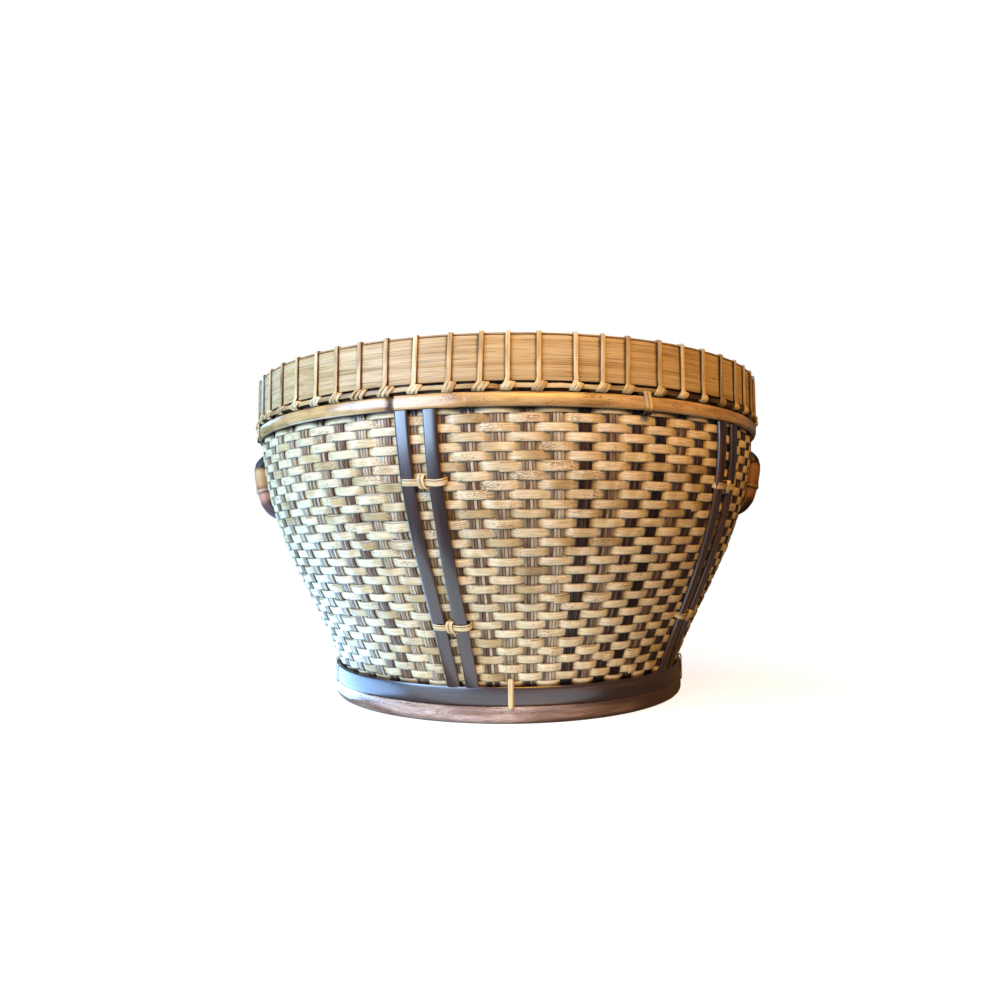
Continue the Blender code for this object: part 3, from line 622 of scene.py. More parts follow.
# The dark edges of the splints are painted shade in the gaps between them.
stake_cane = fibrous(
    "smoked_splint", SPLINT_SECTION, STAKE_TONES, broad=(17, 8), fibre=(14, 0.35), depth=0.4,
    roughness=0.45, each=0.3, edge="#1d1210", edge_width=0.4,
)

# %% Stakes
STAKE_BOW = 0.32 * MM
STAKE_FLOOR_LENGTH = 5 * MM
STAKE_PIECES = 2
LEFTMOST_SEEN_STAKE = -17
# Tints of the stakes seen in front, from the left: each stake's own tone together with painted light, paler
# on the left and darker at the front right.
SEEN_TONE_AND_LIGHT = (
    0.16, 0.2, 0.12, 0.18, 0.1, 0.2, 0.14, 0.18, 0.14, 0.12, 0.1, 0.18, 0.18, 0.1,
    -0.04, 0.14, 0.2, 0.1, 0.18, -0.18, 0.0, -0.12, -0.2, -0.02, -0.14, -0.12, -0.1, -0.16,
)

stake_heights = row_height(np.arange(-1.0, (turns + 4.0), 0.5))
stake_heights = stake_heights[(stake_heights > WALL_BOTTOM + 3 * MM) & (stake_heights < BAND_TOP - 1 * MM)]
stake_rows = np.interp(stake_heights, row_height(np.arange(60.0)), np.arange(60.0))
stake_tone_and_light = random.normal(-0.06, 0.1, STAKES)
stake_tone_and_light[np.arange(len(SEEN_TONE_AND_LIGHT)) + LEFTMOST_SEEN_STAKE] = SEEN_TONE_AND_LIGHT
middle_radius = WALL_FOOT - WALL_THICKNESS / 2
floor_radii = middle_radius - np.array([STAKE_FLOOR_LENGTH, 3 * MM, 0.0])
floor_heights = WALL_BOTTOM + np.array([1.5, 1.6, 2.4]) * MM
for piece in range(STAKE_PIECES):
    bm = bmesh.new()
    for stake in range(piece, STAKES, STAKE_PIECES):
        for splint in range(SPLINTS):
            offset = (splint - (SPLINTS - 1) / 2) * (SPLINT_WIDTH + 0.03 * MM)
            azimuths = stake_azimuth(stake, stake_heights) + degrees_of(offset, wall_radius(stake_heights))
            bow = -swing(stake_rows - stake / STAKES + stake) * STAKE_BOW + random.normal(0.0, 0.05 * MM)
            bow *= stake_heights < HOOP_BOTTOM
            upright, outs = on_wall(azimuths, stake_heights, MIDDLE + bow)
            foot_azimuth = azimuths[0] + degrees_of(offset, middle_radius) - degrees_of(offset, WALL_FOOT)
            centres = np.concatenate([round_axis(foot_azimuth, floor_radii, floor_heights), upright])
            facings = np.concatenate([np.tile((0.0, 0.0, -1.0), (2, 1)), outs[:1], outs])
            number = stake * SPLINTS + splint
            # The outer splints of a bundle are a little darker, as painted shade at the sides of its window.
            fade = stake_tone_and_light[stake] - 0.04 * abs(splint - (SPLINTS - 1) / 2)
            lay_strand(bm, centres, facings, SPLINT_SECTION, number=number, tint=fade, height_tint=rim_shadow_and_base_dark)
    add_piece(f"stakes_{piece + 1}", bm, stake_cane, "woven_bamboo", "woven_body")

# %% [markdown]
# ## The woven floor
#
# The floor is a plain weave of wider splints, one layer along X and one along Y, each strip passing over
# one neighbour and under the next. It is cut round where the wall's stakes turn up.

# %% Floor weave
FLOOR_STRIP = 7.6 * MM
FLOOR_PITCH = 8.2 * MM
FLOOR_RADIUS = WALL_FOOT - 3.5 * MM
FLOOR_MIDDLE = WALL_BOTTOM + WALL_THICKNESS / 2
FLOOR_SECTION = cane_section(FLOOR_STRIP, 0.9 * MM, sides=8)

bm = bmesh.new()
strips = int(FLOOR_RADIUS / FLOOR_PITCH)
for strip in range(-strips, strips + 1):
    reach = math.sqrt(FLOOR_RADIUS ** 2 - (strip * FLOOR_PITCH) ** 2)
    along = np.linspace(-reach, reach, max(8, int(reach / FLOOR_PITCH * 10)))
    across = np.full_like(along, strip * FLOOR_PITCH)
    crossing = swing(along / FLOOR_PITCH + strip) * 0.62 * MM
    up = np.tile((0.0, 0.0, 1.0), (len(along), 1))
    warp = np.stack([along, across, FLOOR_MIDDLE + crossing], axis=-1)
    weft = np.stack([across, along, FLOOR_MIDDLE - crossing], axis=-1)
    lay_strand(bm, warp, up, FLOOR_SECTION, number=2 * strip + 90)
    lay_strand(bm, weft, up, FLOOR_SECTION, number=2 * strip + 91)
add_piece("floor_weave", bm, weft_bamboo, "woven_bamboo", "woven_body")

# %% [markdown]
# ## Hoops and bands
#
# A hoop is one strip bent round and lapped on itself, with both ends thinned so that the lap is no
# thicker than the rest. One helper gives the strip's azimuths, radii and thickness for that, and
# another takes the sizes of a CAD ring and adds such a hoop in its place.

# %% Hoop helpers
LAP = 11.0
LAP_SLOPE = 1.3
LAP_SHARE = 0.48
PRESS_DEPTH = 0.3 * MM
# Where a stitch or the lap presses a strip in, it is also painted darker, as the shade there.
PRESS_SHADE = -0.3
HOOP_STEPS = 520


def bent_round(joint, face, thickness, anchor, out=1, way=1, steps=HOOP_STEPS):
    """Azimuths, radii and thickness shares of a strip that is bent once round, to its outer end at the joint.

    The strip lies against face, out is 1 if it lies outside it, and anchor is the height of the section's
    own middle line as a share of the thickness.
    """
    turn = np.linspace(0.0, 360.0 + LAP, steps)
    whole = np.clip((turn - LAP) / LAP_SLOPE, 0, 1) * np.clip((360.0 - turn) / LAP_SLOPE, 0, 1)
    share = LAP_SHARE + (1 - LAP_SHARE) * whole
    raised = np.where(turn > 180.0, 1 - share, 0.0)
    return joint - way * (360.0 + LAP - turn), face + out * thickness * (raised + anchor * share), share


def add_hoop(
    name, material, slot, cad_node, joint, section, anchor, out=1, way=1, press=np.zeros_like,
    steps=HOOP_STEPS,
):
    """Add a hoop in place of a CAD ring. Press gives 1 where the strip is drawn in and painted darker, as the
    shade beside a lashing or under the lap.
    """
    inner, outer, bottom, top = ring_sizes(cad_node)
    face = inner if out > 0 else outer
    azimuth, radius, share = bent_round(joint, face, outer - inner, anchor, out, way, steps)
    pressed = press(azimuth)
    centres = round_axis(azimuth, radius - pressed * PRESS_DEPTH, (bottom + top) / 2)
    facings = round_axis(azimuth, out, 0.0)
    look = {"thicknesses": share, "tint": pressed * PRESS_SHADE}
    add_strand(name, material, slot, cad_node, centres, facings, section, **look)


# %% [markdown]
# ## Stitch places
#
# The rim is sewn with 65 stitches. Near the front they stand where the photograph shows them, and
# elsewhere they wander a little, as spacing by eye does.

# %% Stitch places
STITCHES = 65
STITCHES_PER_STRAND = 13
STITCH_SPACING = 360.0 / STITCHES
FIRST_STITCH = 0.3
STITCH_REACH = 0.58
LEFTMOST_SHIFTED = -11
FRONT_SHIFTS = (
    0.0, 0.1, 0.7, 1.1, 1.7, 1.4, 1.1, 0.95, 0.8, 1.3, 1.0,
    0.0, -0.4, 0.3, -0.5, -1.35, -0.4, -0.5, -0.5, 0.0, 0.35, -0.1,
)
stitch_azimuths = FIRST_STITCH + STITCH_SPACING * np.arange(STITCHES) + random.normal(0.0, 0.35, STITCHES)
for i, shift in enumerate(FRONT_SHIFTS):
    stitch = i + LEFTMOST_SHIFTED
    stitch_azimuths[stitch] = FIRST_STITCH + STITCH_SPACING * (stitch % STITCHES) + shift


def near(azimuth, middle, reach):
    """1 at the middle azimuth and 0 well beyond this reach on both sides of it."""
    apart = (azimuth - middle + 180.0) % 360.0 - 180.0
    return np.exp(-(apart / reach) ** 4)


def under_stitches(azimuth):
    """1 under each stitch, where the band is drawn in and painted darker as the shade beside the stitch, and
    0 away from them.
    """
    return near(azimuth[:, None], stitch_azimuths[None], STITCH_REACH).max(axis=1)


# %% [markdown]
# ## The rim bands
#
# Two wide strips of shaved bamboo clamp the top of the weave between them. Shaving lays the fibre
# bundles open, so the face is ribbed with fine straight lines, golden tan with paler and browner ones,
# and it has a soft satin shine.

# %% Rim bands
BAND_SECTION = lath_section(BAND_TOP - BAND_BOTTOM, BAND_OUTER - BAND_INNER, 0.45 * MM)
BAND_STEPS = 1400
BAND_TONES = ((0.22, "#a08250"), (0.38, "#c2a670"), (0.50, "#cbb27e"), (0.62, "#d3be8e"), (0.80, "#bb9960"))
band_bamboo = fibrous(
    "shaved_bamboo", BAND_SECTION, BAND_TONES, broad=(70, 4), fibre=(60, 0.4), depth=0.2,
    edge="#6d4724", edge_width=0.5, roughness=0.45, relief=0.3, grooves=(80, 1.3), groove_depth=0.42,
)
add_hoop(
    "rim_band_outer_strip", band_bamboo, "gold_bamboo", "rim_band_outer", 140.0, BAND_SECTION, 0.5,
    press=under_stitches, steps=BAND_STEPS,
)
add_hoop(
    "rim_band_inner_strip", band_bamboo, "gold_bamboo", "rim_band_inner", -120.0, BAND_SECTION, 0.5,
    out=-1, steps=BAND_STEPS,
)

# %% [markdown]
# ## The cap strip
#
# A thin brown strip covers the edges of both bands and the weave between them. It is the bamboo's outer
# skin, browned by smoke.

# %% Cap strip
CAP_INNER, CAP_OUTER, CAP_BOTTOM, CAP_TOP = ring_sizes("rim_cap_strip")
CAP_SECTION = lath_section(CAP_OUTER - CAP_INNER, CAP_TOP - CAP_BOTTOM, 0.35 * MM)
CAP_TONES = ((0.25, "#927148"), (0.45, "#ad8d5e"), (0.60, "#c0a272"), (0.80, "#ccb080"))
cap_bamboo = fibrous(
    "smoked_strip", CAP_SECTION, CAP_TONES, broad=(30, 5), fibre=(60, 0.5), depth=0.3, roughness=0.42,
)
azimuth, height, share = bent_round(60.0, CAP_BOTTOM, CAP_TOP - CAP_BOTTOM, 0.5)
centres = round_axis(azimuth, (CAP_INNER + CAP_OUTER) / 2, height)
up = np.tile((0.0, 0.0, 1.0), (len(azimuth), 1))
add_strand(
    "rim_cap_strip_skin", cap_bamboo, "brown_bamboo", "rim_cap_strip", centres, up, CAP_SECTION,
    thicknesses=share,
)

# %% [markdown]
# ## The half-round hoops
#
# Below the band a half-round cane hoop lies outside the wall, and another inside, drawn together by
# clips. Cane keeps its hard golden skin with small brown specks, so it shines more than the split
# strips. The outer hoop's lap shows at the front left.

# %% Half-round hoops
HOOP_SECTION = dome_section(HOOP_TOP - HOOP_BOTTOM, HOOP_OUTER - HOOP_INNER)
HOOP_TONES = ((0.25, "#8e6c40"), (0.40, "#ba945a"), (0.52, "#d0ae70"), (0.64, "#debe82"), (0.80, "#aa824a"))
hoop_cane = fibrous(
    "skinned_cane", HOOP_SECTION, HOOP_TONES, broad=(34, 6), fibre=(26, 0.7), depth=0.16,
    fleck="#5d3a1c", fleck_size=(1.6, 0.8), fleck_patch=(12, 7), edge="#3a2412", edge_width=0.6,
    roughness=0.3, relief=0.1, Specular_IOR_Level=0.5, Coat_Weight=1.0, Coat_Roughness=0.2,
)
HOOP_JOINT = -19.2
# Just past the joint the strip is painted darker: partly wear, partly the shade under the lapped end.
JOINT_WEAR_SHADE_OFFSET = 0.9
JOINT_WEAR_SHADE_REACH = 0.8


def by_joint(azimuth):
    """1 where the strip goes in under its own end, which is darker there, partly from wear and partly as
    painted shade under the end; 0 away from there.
    """
    return np.exp(-((azimuth - HOOP_JOINT - 360.0 + JOINT_WEAR_SHADE_OFFSET) / JOINT_WEAR_SHADE_REACH) ** 4)


add_hoop(
    "rim_hoop_outer_cane", hoop_cane, "gold_cane", "rim_hoop_outer", HOOP_JOINT, HOOP_SECTION, 0.0,
    way=-1, press=by_joint, steps=BAND_STEPS,
)
add_hoop("rim_hoop_inner_cane", hoop_cane, "gold_cane", "rim_hoop_inner", 200.0, HOOP_SECTION, 0.0, out=-1)

# %% [markdown]
# ## Ribs and base hoop
#
# The ribs are split canes smoked until they are nearly black, flat behind and domed in front. Their hard
# skin is glossy, so it mirrors the cool panel as a bluish streak. They run from the base hoop up to the
# rim hoop and lean a little, because the pairs were set by eye. The base hoop is the same material.

# %% Rib material
RIB_WIDTH = 8.0 * MM
RIB_THICKNESS = 2.4 * MM
RIB_SECTION = dome_section(RIB_WIDTH, RIB_THICKNESS, edge=0.68)
BASE_SECTION = dome_section(BASE_TOP - BASE_BOTTOM, BASE_OUTER - BASE_INNER, edge=0.8)
RIB_TONES = ((0.25, "#1b1314"), (0.45, "#2b2023"), (0.62, "#3d2a24"), (0.80, "#5c402c"))
rib_cane = fibrous(
    "smoked_cane", RIB_SECTION, RIB_TONES, broad=(60, 6), fibre=(70, 0.45), depth=0.4,
    edge="#120c0c", edge_width=0.4, roughness=0.3, relief=0.1, Specular_IOR_Level=1.0, Coat_Weight=1.0,
    Coat_Roughness=0.2,
)

# %% Ribs
RIB_PAIRS = (
    (-15.5, -12.3), (47.7, 55.5), (106.5, 108.0), (158.5, 160.0), (210.0, 210.5), (263.0, 262.0),
)
RIGHT_PAIR = 1
RIGHT_RIB_TINT = 0.12
RIB_PAIR_GAP = 5.3 * MM
UPPER_TIE = HOOP_BOTTOM - 39.5 * MM
LOWER_TIE = BASE_TOP + 39.3 * MM
RIB_BOW = -0.4
RIB_HALF_STEP = degrees_of((RIB_WIDTH + RIB_PAIR_GAP) / 2, wall_radius(LOWER_TIE))


def pair_azimuth(pair, height):
    top, foot = RIB_PAIRS[pair]
    return foot + (top - foot) * (height - BASE_TOP) / (HOOP_BOTTOM - BASE_TOP)


rib_heights = np.linspace(BASE_TOP + GAP, HOOP_BOTTOM - GAP, 80)
for pair in range(len(RIB_PAIRS)):
    for side, letter in ((-1, "a"), (1, "b")):
        bend = RIB_BOW * np.sin(np.pi * (rib_heights - BASE_TOP) / (HOOP_BOTTOM - BASE_TOP))
        bend = bend + degrees_of(wander(rib_heights, 30 * MM, 0.12 * MM), 150 * MM)
        azimuth = pair_azimuth(pair, rib_heights) + side * RIB_HALF_STEP + bend
        centres, facings = on_wall(azimuth, rib_heights, GAP)
        name = f"rib_{pair + 1}{letter}"
        widths = 1.0 + wander(rib_heights, 25 * MM, 0.012)
        add_strand(
            name + "_cane", rib_cane, "dark_bamboo", name, centres, facings, RIB_SECTION, widths,
            number=2 * pair + (side > 0) + 1, tint=RIGHT_RIB_TINT * (pair == RIGHT_PAIR),
        )

add_hoop("base_hoop_strip", rib_cane, "dark_bamboo", "base_hoop", 160.0, BASE_SECTION, 0.0)

# %% [markdown]
# ## Lashings
#
# The lashings are split rattan, pale and a little shiny, and they are bent sharply round edges. Their
# paths are given by a few corners, which one helper rounds and another places beside an azimuth.

# %% Lashing helpers
def rounded_path(points, looks, radius, steps=4):
    """The path with rounded corners. Each stretch has its own facing, and it turns over in the corners."""
    points, looks = np.asarray(points, float), np.asarray(looks, float)
    path, turned = [points[0]], [looks[0]]
    for before, corner, after, look, next_look in zip(points, points[1:], points[2:], looks, looks[1:]):
        start = corner + unit(before - corner) * radius
        end = corner + unit(after - corner) * radius
        for share in np.linspace(0.0, 1.0, steps + 1):
            path.append((1 - share) ** 2 * start + 2 * share * (1 - share) * corner + share ** 2 * end)
            turned.append((1 - share) * look + share * next_look)
    return np.array([*path, points[-1]]), np.array([*turned, looks[-1]])


def beside(azimuth, path, looks):
    """World points and facings of a path of (side, radius, height) and looks of (side, out, up)."""
    side, radius, height = path.T
    turned = azimuth + degrees_of(side, radius)
    sideways = round_axis(turned + 90.0, 1.0, 0.0)
    facings = looks[:, :1] * sideways + looks[:, 1:2] * round_axis(turned, 1.0, 0.0)
    return round_axis(turned, radius, height), facings + looks[:, 2:] * (0.0, 0.0, 1.0)


def beside_on_wall(azimuth, height, path, looks):
    """The same for a path of (side, lift, up) that follows the wall."""
    side, lift, up = path.T
    heights = height + up * math.cos(np.interp(height, OUTLINE_HEIGHT, OUTLINE_LEAN))
    turned = azimuth + degrees_of(side, wall_radius(heights))
    centres, outs = on_wall(turned, heights, lift)
    sideways = round_axis(turned + 90.0, 1.0, 0.0)
    ups = np.cross(outs, sideways)
    return centres, looks[:, :1] * sideways + looks[:, 1:2] * outs + looks[:, 2:] * ups


LASHING_TONES = (
    (0.05, "#3d2a26"), (0.22, "#8a6a42"), (0.40, "#cbb078"), (0.54, "#e2ce9a"), (0.68, "#eedfb4"),
    (0.84, "#c8a86c"),
)
LASHING_TINT = 0.06
USUAL_SECTION = cane_section(3.0 * MM, 0.9 * MM)
lashing_cane = fibrous(
    "split_rattan", USUAL_SECTION, LASHING_TONES, broad=(24, 8), fibre=(20, 0.45), depth=0.36,
    edge="#3d2814", edge_width=0.5, roughness=0.42, each=0.25,
)

# %% [markdown]
# ## The rim lashing
#
# Each stitch comes out of the wall inside, goes up over the rim and down in front, and is then knotted
# round a strand that runs along under the band: three turns side by side, each down over it to the left
# and back up behind it. The knot is a table of points, each so far to the side, out and up from the
# running strand's middle, and the way that the strand's face looks there.

# %% Rim lashing
LASH_INNER, LASH_OUTER = ring_sizes("rim_lashing_1")[:2]
RUN_HEIGHT = BAND_BOTTOM - 3.0 * MM
RUN_RADIUS = LASH_OUTER - 0.35 * MM
RUN_SECTION = cane_section(2.7 * MM, 1.2 * MM)
STITCH_SECTION = cane_section(2.8 * MM, 1.0 * MM, corner=0.6)
STITCH_TOP = CAP_TOP + 0.5 * MM
STITCH_INSIDE = LASH_INNER + 0.45 * MM
RUN_START = -1.2
RUN_END = -1.6
RUN_TUCK = 3.2 * MM
RIGHT_FRONT_MIDDLE = 55.0
RIGHT_FRONT_REACH = 34.0
KNOT_NARROWS = (5, 13)
KNOT = np.array((
    (0.1, 0.10, 5.6, 0, 1.0, 0.0),
    (0.0, 0.20, 3.6, 0, 1.0, 0.0),
    (-0.7, 0.70, 2.0, -0.3, 1.0, 0.2),
    (-2.0, 1.20, 0.4, -0.4, 1.0, 0.1),
    (-3.2, 0.90, -1.3, -0.3, 1.0, -0.3),
    (-3.4, -0.40, -2.3, 0, 0.1, -1.0),
    (-2.0, -1.50, -1.4, 0, -1.0, -0.3),
    (0.2, -1.50, 0.4, 0, -1.0, 0.3),
    (1.6, -0.70, 2.2, 0, 0.0, 1.0),
    (1.9, 0.85, 2.0, 0.1, 1.0, 0.5),
    (0.8, 1.30, 0.3, -0.1, 1.0, 0.0),
    (-0.5, 1.15, -1.4, -0.2, 1.0, -0.3),
    (-1.0, -0.30, -2.5, 0, 0.1, -1.0),
    (0.4, -1.50, -1.2, 0, -1.0, -0.3),
    (2.4, -1.40, 0.6, 0, -1.0, 0.3),
    (3.9, -0.60, 2.0, 0, 0.0, 1.0),
    (4.1, 0.75, 1.5, 0.4, 1.0, 0.4),
    (3.2, 1.20, 0.0, 0.2, 1.0, 0.0),
    (2.0, 1.00, -1.5, 0.0, 1.0, -0.3),
    (1.3, -0.40, -2.5, 0, 0.1, -1.0),
    (1.0, -1.60, -2.4, 0, -0.6, -1.0),
))


def right_front_share(azimuth):
    """1 at the right of the front, where the running strand is darker and the knots smaller, and 0 well away
    from it.
    """
    return near(azimuth, RIGHT_FRONT_MIDDLE, RIGHT_FRONT_REACH)


def stitch(azimuth):
    """One stitch with its knot: world points, facings and widths."""
    lean = random.uniform(0.3, 1.2) * MM
    scale = random.normal(0.94, 0.1, 3) * (1.0 - 0.18 * right_front_share(azimuth)) * MM
    start = (
        (lean, WALL_TOP - 1.5 * MM, RUN_HEIGHT), (lean, STITCH_INSIDE, RUN_HEIGHT),
        (lean, STITCH_INSIDE, STITCH_TOP), (lean, RUN_RADIUS, STITCH_TOP),
        (0.1 * MM, RUN_RADIUS, RUN_HEIGHT + 9 * MM), (0.1 * MM, RUN_RADIUS, RUN_HEIGHT + 7 * MM),
    )
    looks = ((0, 0, -1), (0, -1, 0), (0, 0, 1), (0, 1, 0), (0, 1, 0))
    path, turned = rounded_path(start, looks, 1.0 * MM)
    narrows = [len(path) + station for station in KNOT_NARROWS]
    knot = KNOT[:, :3] * scale + (0.0, RUN_RADIUS, RUN_HEIGHT)
    knot[:, :2] += random.normal(0.0, 0.14 * MM, (len(KNOT), 2))
    path = np.concatenate([path, smooth_path(knot)])
    turned = np.concatenate([turned, smooth_path(KNOT[:, 3:])])
    widths = np.interp(np.arange(len(path)), (*narrows, len(path)), (1.0, 0.86, 0.74))
    return *beside(azimuth, path, turned), widths


for strand in range(STITCHES // STITCHES_PER_STRAND):
    members = range(strand * STITCHES_PER_STRAND, (strand + 1) * STITCHES_PER_STRAND)
    bm = bmesh.new()
    for member in members:
        centres, facings, widths = stitch(stitch_azimuths[member])
        lay_strand(bm, centres, facings, STITCH_SECTION, widths, number=member, tint=random.normal(0.0, 0.05))
    first = stitch_azimuths[members[0]]
    run = np.linspace(first + RUN_START, first + RUN_END + STITCHES_PER_STRAND * STITCH_SPACING, 110)
    inwards = np.interp(run, (run[0], run[0] + 0.9, run[-1] - 0.9, run[-1]), (RUN_TUCK, 0.0, 0.0, RUN_TUCK))
    height = RUN_HEIGHT + wander(run - run[0], 2.0, 0.16 * MM)
    centres = round_axis(run, RUN_RADIUS - inwards + wander(run - run[0], 2.4, 0.12 * MM), height)
    dark = -0.04 - 0.3 * right_front_share(run)
    lay_strand(bm, centres, round_axis(run, 1.0, 0.0), RUN_SECTION, number=strand + STITCHES, tint=dark)
    add_piece(f"rim_lashing_{strand + 1}_cane", bm, lashing_cane, "split_cane", f"rim_lashing_{strand + 1}")

# %% [markdown]
# ## Clips round the hoops
#
# Four clips of thin cane, two turns each, draw the outer and the inner hoop together through the wall.
# Their lower ends are painted darker where they pass under the hoop, as the shade there.

# %% Hoop clips
CLIP_SECTION = cane_section(2.4 * MM, 0.8 * MM, sides=8)
CLIP_PITCH = 2.6 * MM
CLIP_BOW = 1.5 * MM
CLIP_RISE = 1.6 * MM
CLIP_DROP = 2.4 * MM
CLIP_CLEAR = GAP + 0.35 * MM
CLIPS = 4
FIRST_CLIP = 24.7
inside = ring_sizes("rim_hoop_inner")[0] - CLIP_CLEAR
outside = HOOP_OUTER + CLIP_CLEAR
above = HOOP_TOP + CLIP_CLEAR
below = HOOP_BOTTOM - CLIP_CLEAR
points = [(-CLIP_PITCH / 2, inside, above - 2 * MM)]
looks = [(0, -1, 0)]
for side in (-CLIP_PITCH / 2, CLIP_PITCH / 2):
    points += [
        (side, inside, above), (side, outside, above + CLIP_RISE),
        (side + CLIP_BOW, outside, (above + 2 * below) / 3),
        (side, outside, below - CLIP_DROP), (side, inside, below),
    ]
    looks += [(0, 0, 1), (0, 1, 0), (0, 1, 0), (0, 0, -1), (0, -1, 0)]
points.append((CLIP_PITCH / 2, inside, below + 2 * MM))
clip_path, clip_looks = rounded_path(points, looks, 0.9 * MM)
# The lower ends are painted darker where they pass under the hoop, as the shade there.
shade_under_hoop = np.interp(clip_path[:, 2], (below - 0.5 * MM, below + 2.5 * MM), (-0.42, 0.05))
for clip in range(CLIPS):
    name = f"hoop_clip_{clip + 1}"
    centres, facings = beside(FIRST_CLIP + clip * 360.0 / CLIPS, clip_path, clip_looks)
    add_strand(
        name + "_cane", lashing_cane, "split_cane", name, centres, facings, CLIP_SECTION,
        number=clip, tint=shade_under_hoop,
    )

# %% [markdown]
# ## Rib ties
#
# A strap crosses each pair of ribs near its top and near its foot, with its ends through the weave. Two
# turns round the strap between the ribs draw it in, and bow a little to the left as they were pulled.

# %% Rib ties
STRAP_SECTION = cane_section(4.1 * MM, 0.8 * MM)
WRAP_SECTION = cane_section(2.1 * MM, 0.75 * MM, sides=8)
WRAP_PITCH = 2.2 * MM
WRAP_BOW = 1.7 * MM
WRAP_DEPTH = 1.25 * MM
WRAP_HEIGHT = 3.9 * MM
WRAP_ANGLES = np.radians(np.arange(-100.0, 560.0, 20.0))
CROWN = GAP + RIB_THICKNESS + GAP + 0.4 * MM
BETWEEN_RIBS = CROWN - 0.75 * MM
# The right pair's ties are painted paler, as painted light standing in for the light that falls on them.
RIGHT_TIE_LIGHT = 0.07


def strap(half_step):
    """The strap's path and looks: a table from its middle to its end inside, mirrored for the other half."""
    edge = half_step + 3.5 * MM
    hole = half_step + 4.9 * MM
    half = (
        (0.0, BETWEEN_RIBS, 0, 1), (half_step - 3.4 * MM, CROWN - 0.25 * MM, 0, 1), (half_step, CROWN, 0, 1),
        (edge, CROWN - 0.75 * MM, 0.4, 1), (hole, 0.9 * MM, 1, 0.4), (hole + 0.2 * MM, -1.5 * MM, 1, 0),
        (hole - 0.8 * MM, -3.5 * MM, 0.7, -0.7), (hole - 4 * MM, -3.7 * MM, 0, -1),
    )
    rows = [(-side, lift, -look, out) for side, lift, look, out in reversed(half[1:])] + list(half)
    side, lift, look, out = np.array(rows).T
    zero = np.zeros_like(side)
    return np.stack([side, lift, zero], axis=-1), np.stack([look, out, zero], axis=-1)


outwards, upwards = np.cos(WRAP_ANGLES), -np.sin(WRAP_ANGLES)
side = WRAP_PITCH * (WRAP_ANGLES / math.tau - 0.5) - WRAP_BOW * np.maximum(outwards, 0.0) + WRAP_BOW / 2
wrap = np.stack([side, BETWEEN_RIBS + WRAP_DEPTH * outwards, WRAP_HEIGHT * upwards], axis=-1)
wrap = np.concatenate([[(side[0], -2.5 * MM, 2.2 * MM)], wrap])
wrap_looks = np.stack([0 * outwards, outwards, upwards], axis=-1)
wrap_looks = np.concatenate([[(0.0, 0.0, 1.0)], wrap_looks])
for pair in range(len(RIB_PAIRS)):
    tint = LASHING_TINT + RIGHT_TIE_LIGHT * (pair == RIGHT_PAIR)
    for place, height in (("upper", UPPER_TIE), ("lower", LOWER_TIE)):
        azimuth = pair_azimuth(pair, height)
        path, looks = strap(math.radians(RIB_HALF_STEP) * wall_radius(height))
        path[:, 2] = wander(np.arange(len(path)), 3.0, 0.25 * MM)
        bm = bmesh.new()
        centres, facings = beside_on_wall(azimuth, height, smooth_path(path), smooth_path(looks))
        lay_strand(bm, centres, facings, STRAP_SECTION, number=pair, tint=tint)
        centres, facings = beside_on_wall(azimuth, height, wrap, wrap_looks)
        lay_strand(bm, centres, facings, WRAP_SECTION, number=pair + 20, tint=tint)
        name = f"rib_tie_{pair + 1}_{place}"
        add_piece(name + "_cane", bm, lashing_cane, "split_cane", name)

# %% [markdown]
# ## Base lashings
#
# Five short lashings hold the base hoop to the wall above it and to the foot ring below it. The one at
# the right has a second, thinner strand beside it.

# %% Base lashings
BASE_LASH_SECTION = cane_section(3.8 * MM, 0.9 * MM, corner=0.6)
BASE_LASHINGS = 5
FIRST_BASE_LASHING = 0.6
DOUBLED_LASHING = 1
SECOND_STRAND = 2.7 * MM
above = BASE_TOP + 4.6 * MM
below = FOOT_TOP - 1.6 * MM
wall_inside = float(wall_radius(above)) - 4.4 * MM
ring_inside = FOOT_INNER - GAP - 0.4 * MM
looks = ((0, -1, 0), (0, 0, 1), (0, 1, 0), (0, 0, -1), (0, -1, 0))
for lash in range(BASE_LASHINGS):
    azimuth = FIRST_BASE_LASHING + lash * 360.0 / BASE_LASHINGS
    name = f"base_lashing_{lash + 1}"
    bm = bmesh.new()
    for extra in range(2 if lash == DOUBLED_LASHING else 1):
        side = extra * SECOND_STRAND
        low_side = side * 0.7
        outside = BASE_OUTER + GAP + 0.4 * MM - extra * 0.2 * MM
        points = (
            (side, wall_inside, above + 4 * MM), (side, wall_inside, above), (side, outside, above),
            (low_side, outside, below), (low_side, ring_inside, below),
            (low_side, ring_inside, below - 4.5 * MM),
        )
        centres, facings = beside(azimuth, *rounded_path(points, looks, 1.5 * MM, steps=5))
        number, width = lash + 5 * extra, 1.0 - 0.35 * extra
        lay_strand(bm, centres, facings, BASE_LASH_SECTION, width, number=number, tint=LASHING_TINT)
    add_piece(name + "_cane", bm, lashing_cane, "split_cane", name)

# %% [markdown]
# ## The foot ring
#
# The basket stands on a ring of reddish-brown wood, bent round and scarfed at the back. Its grain runs
# round it, it is waxed by handling, and its lower edge is rounded by wear. It is painted darker towards
# the right, as the shade on that side.

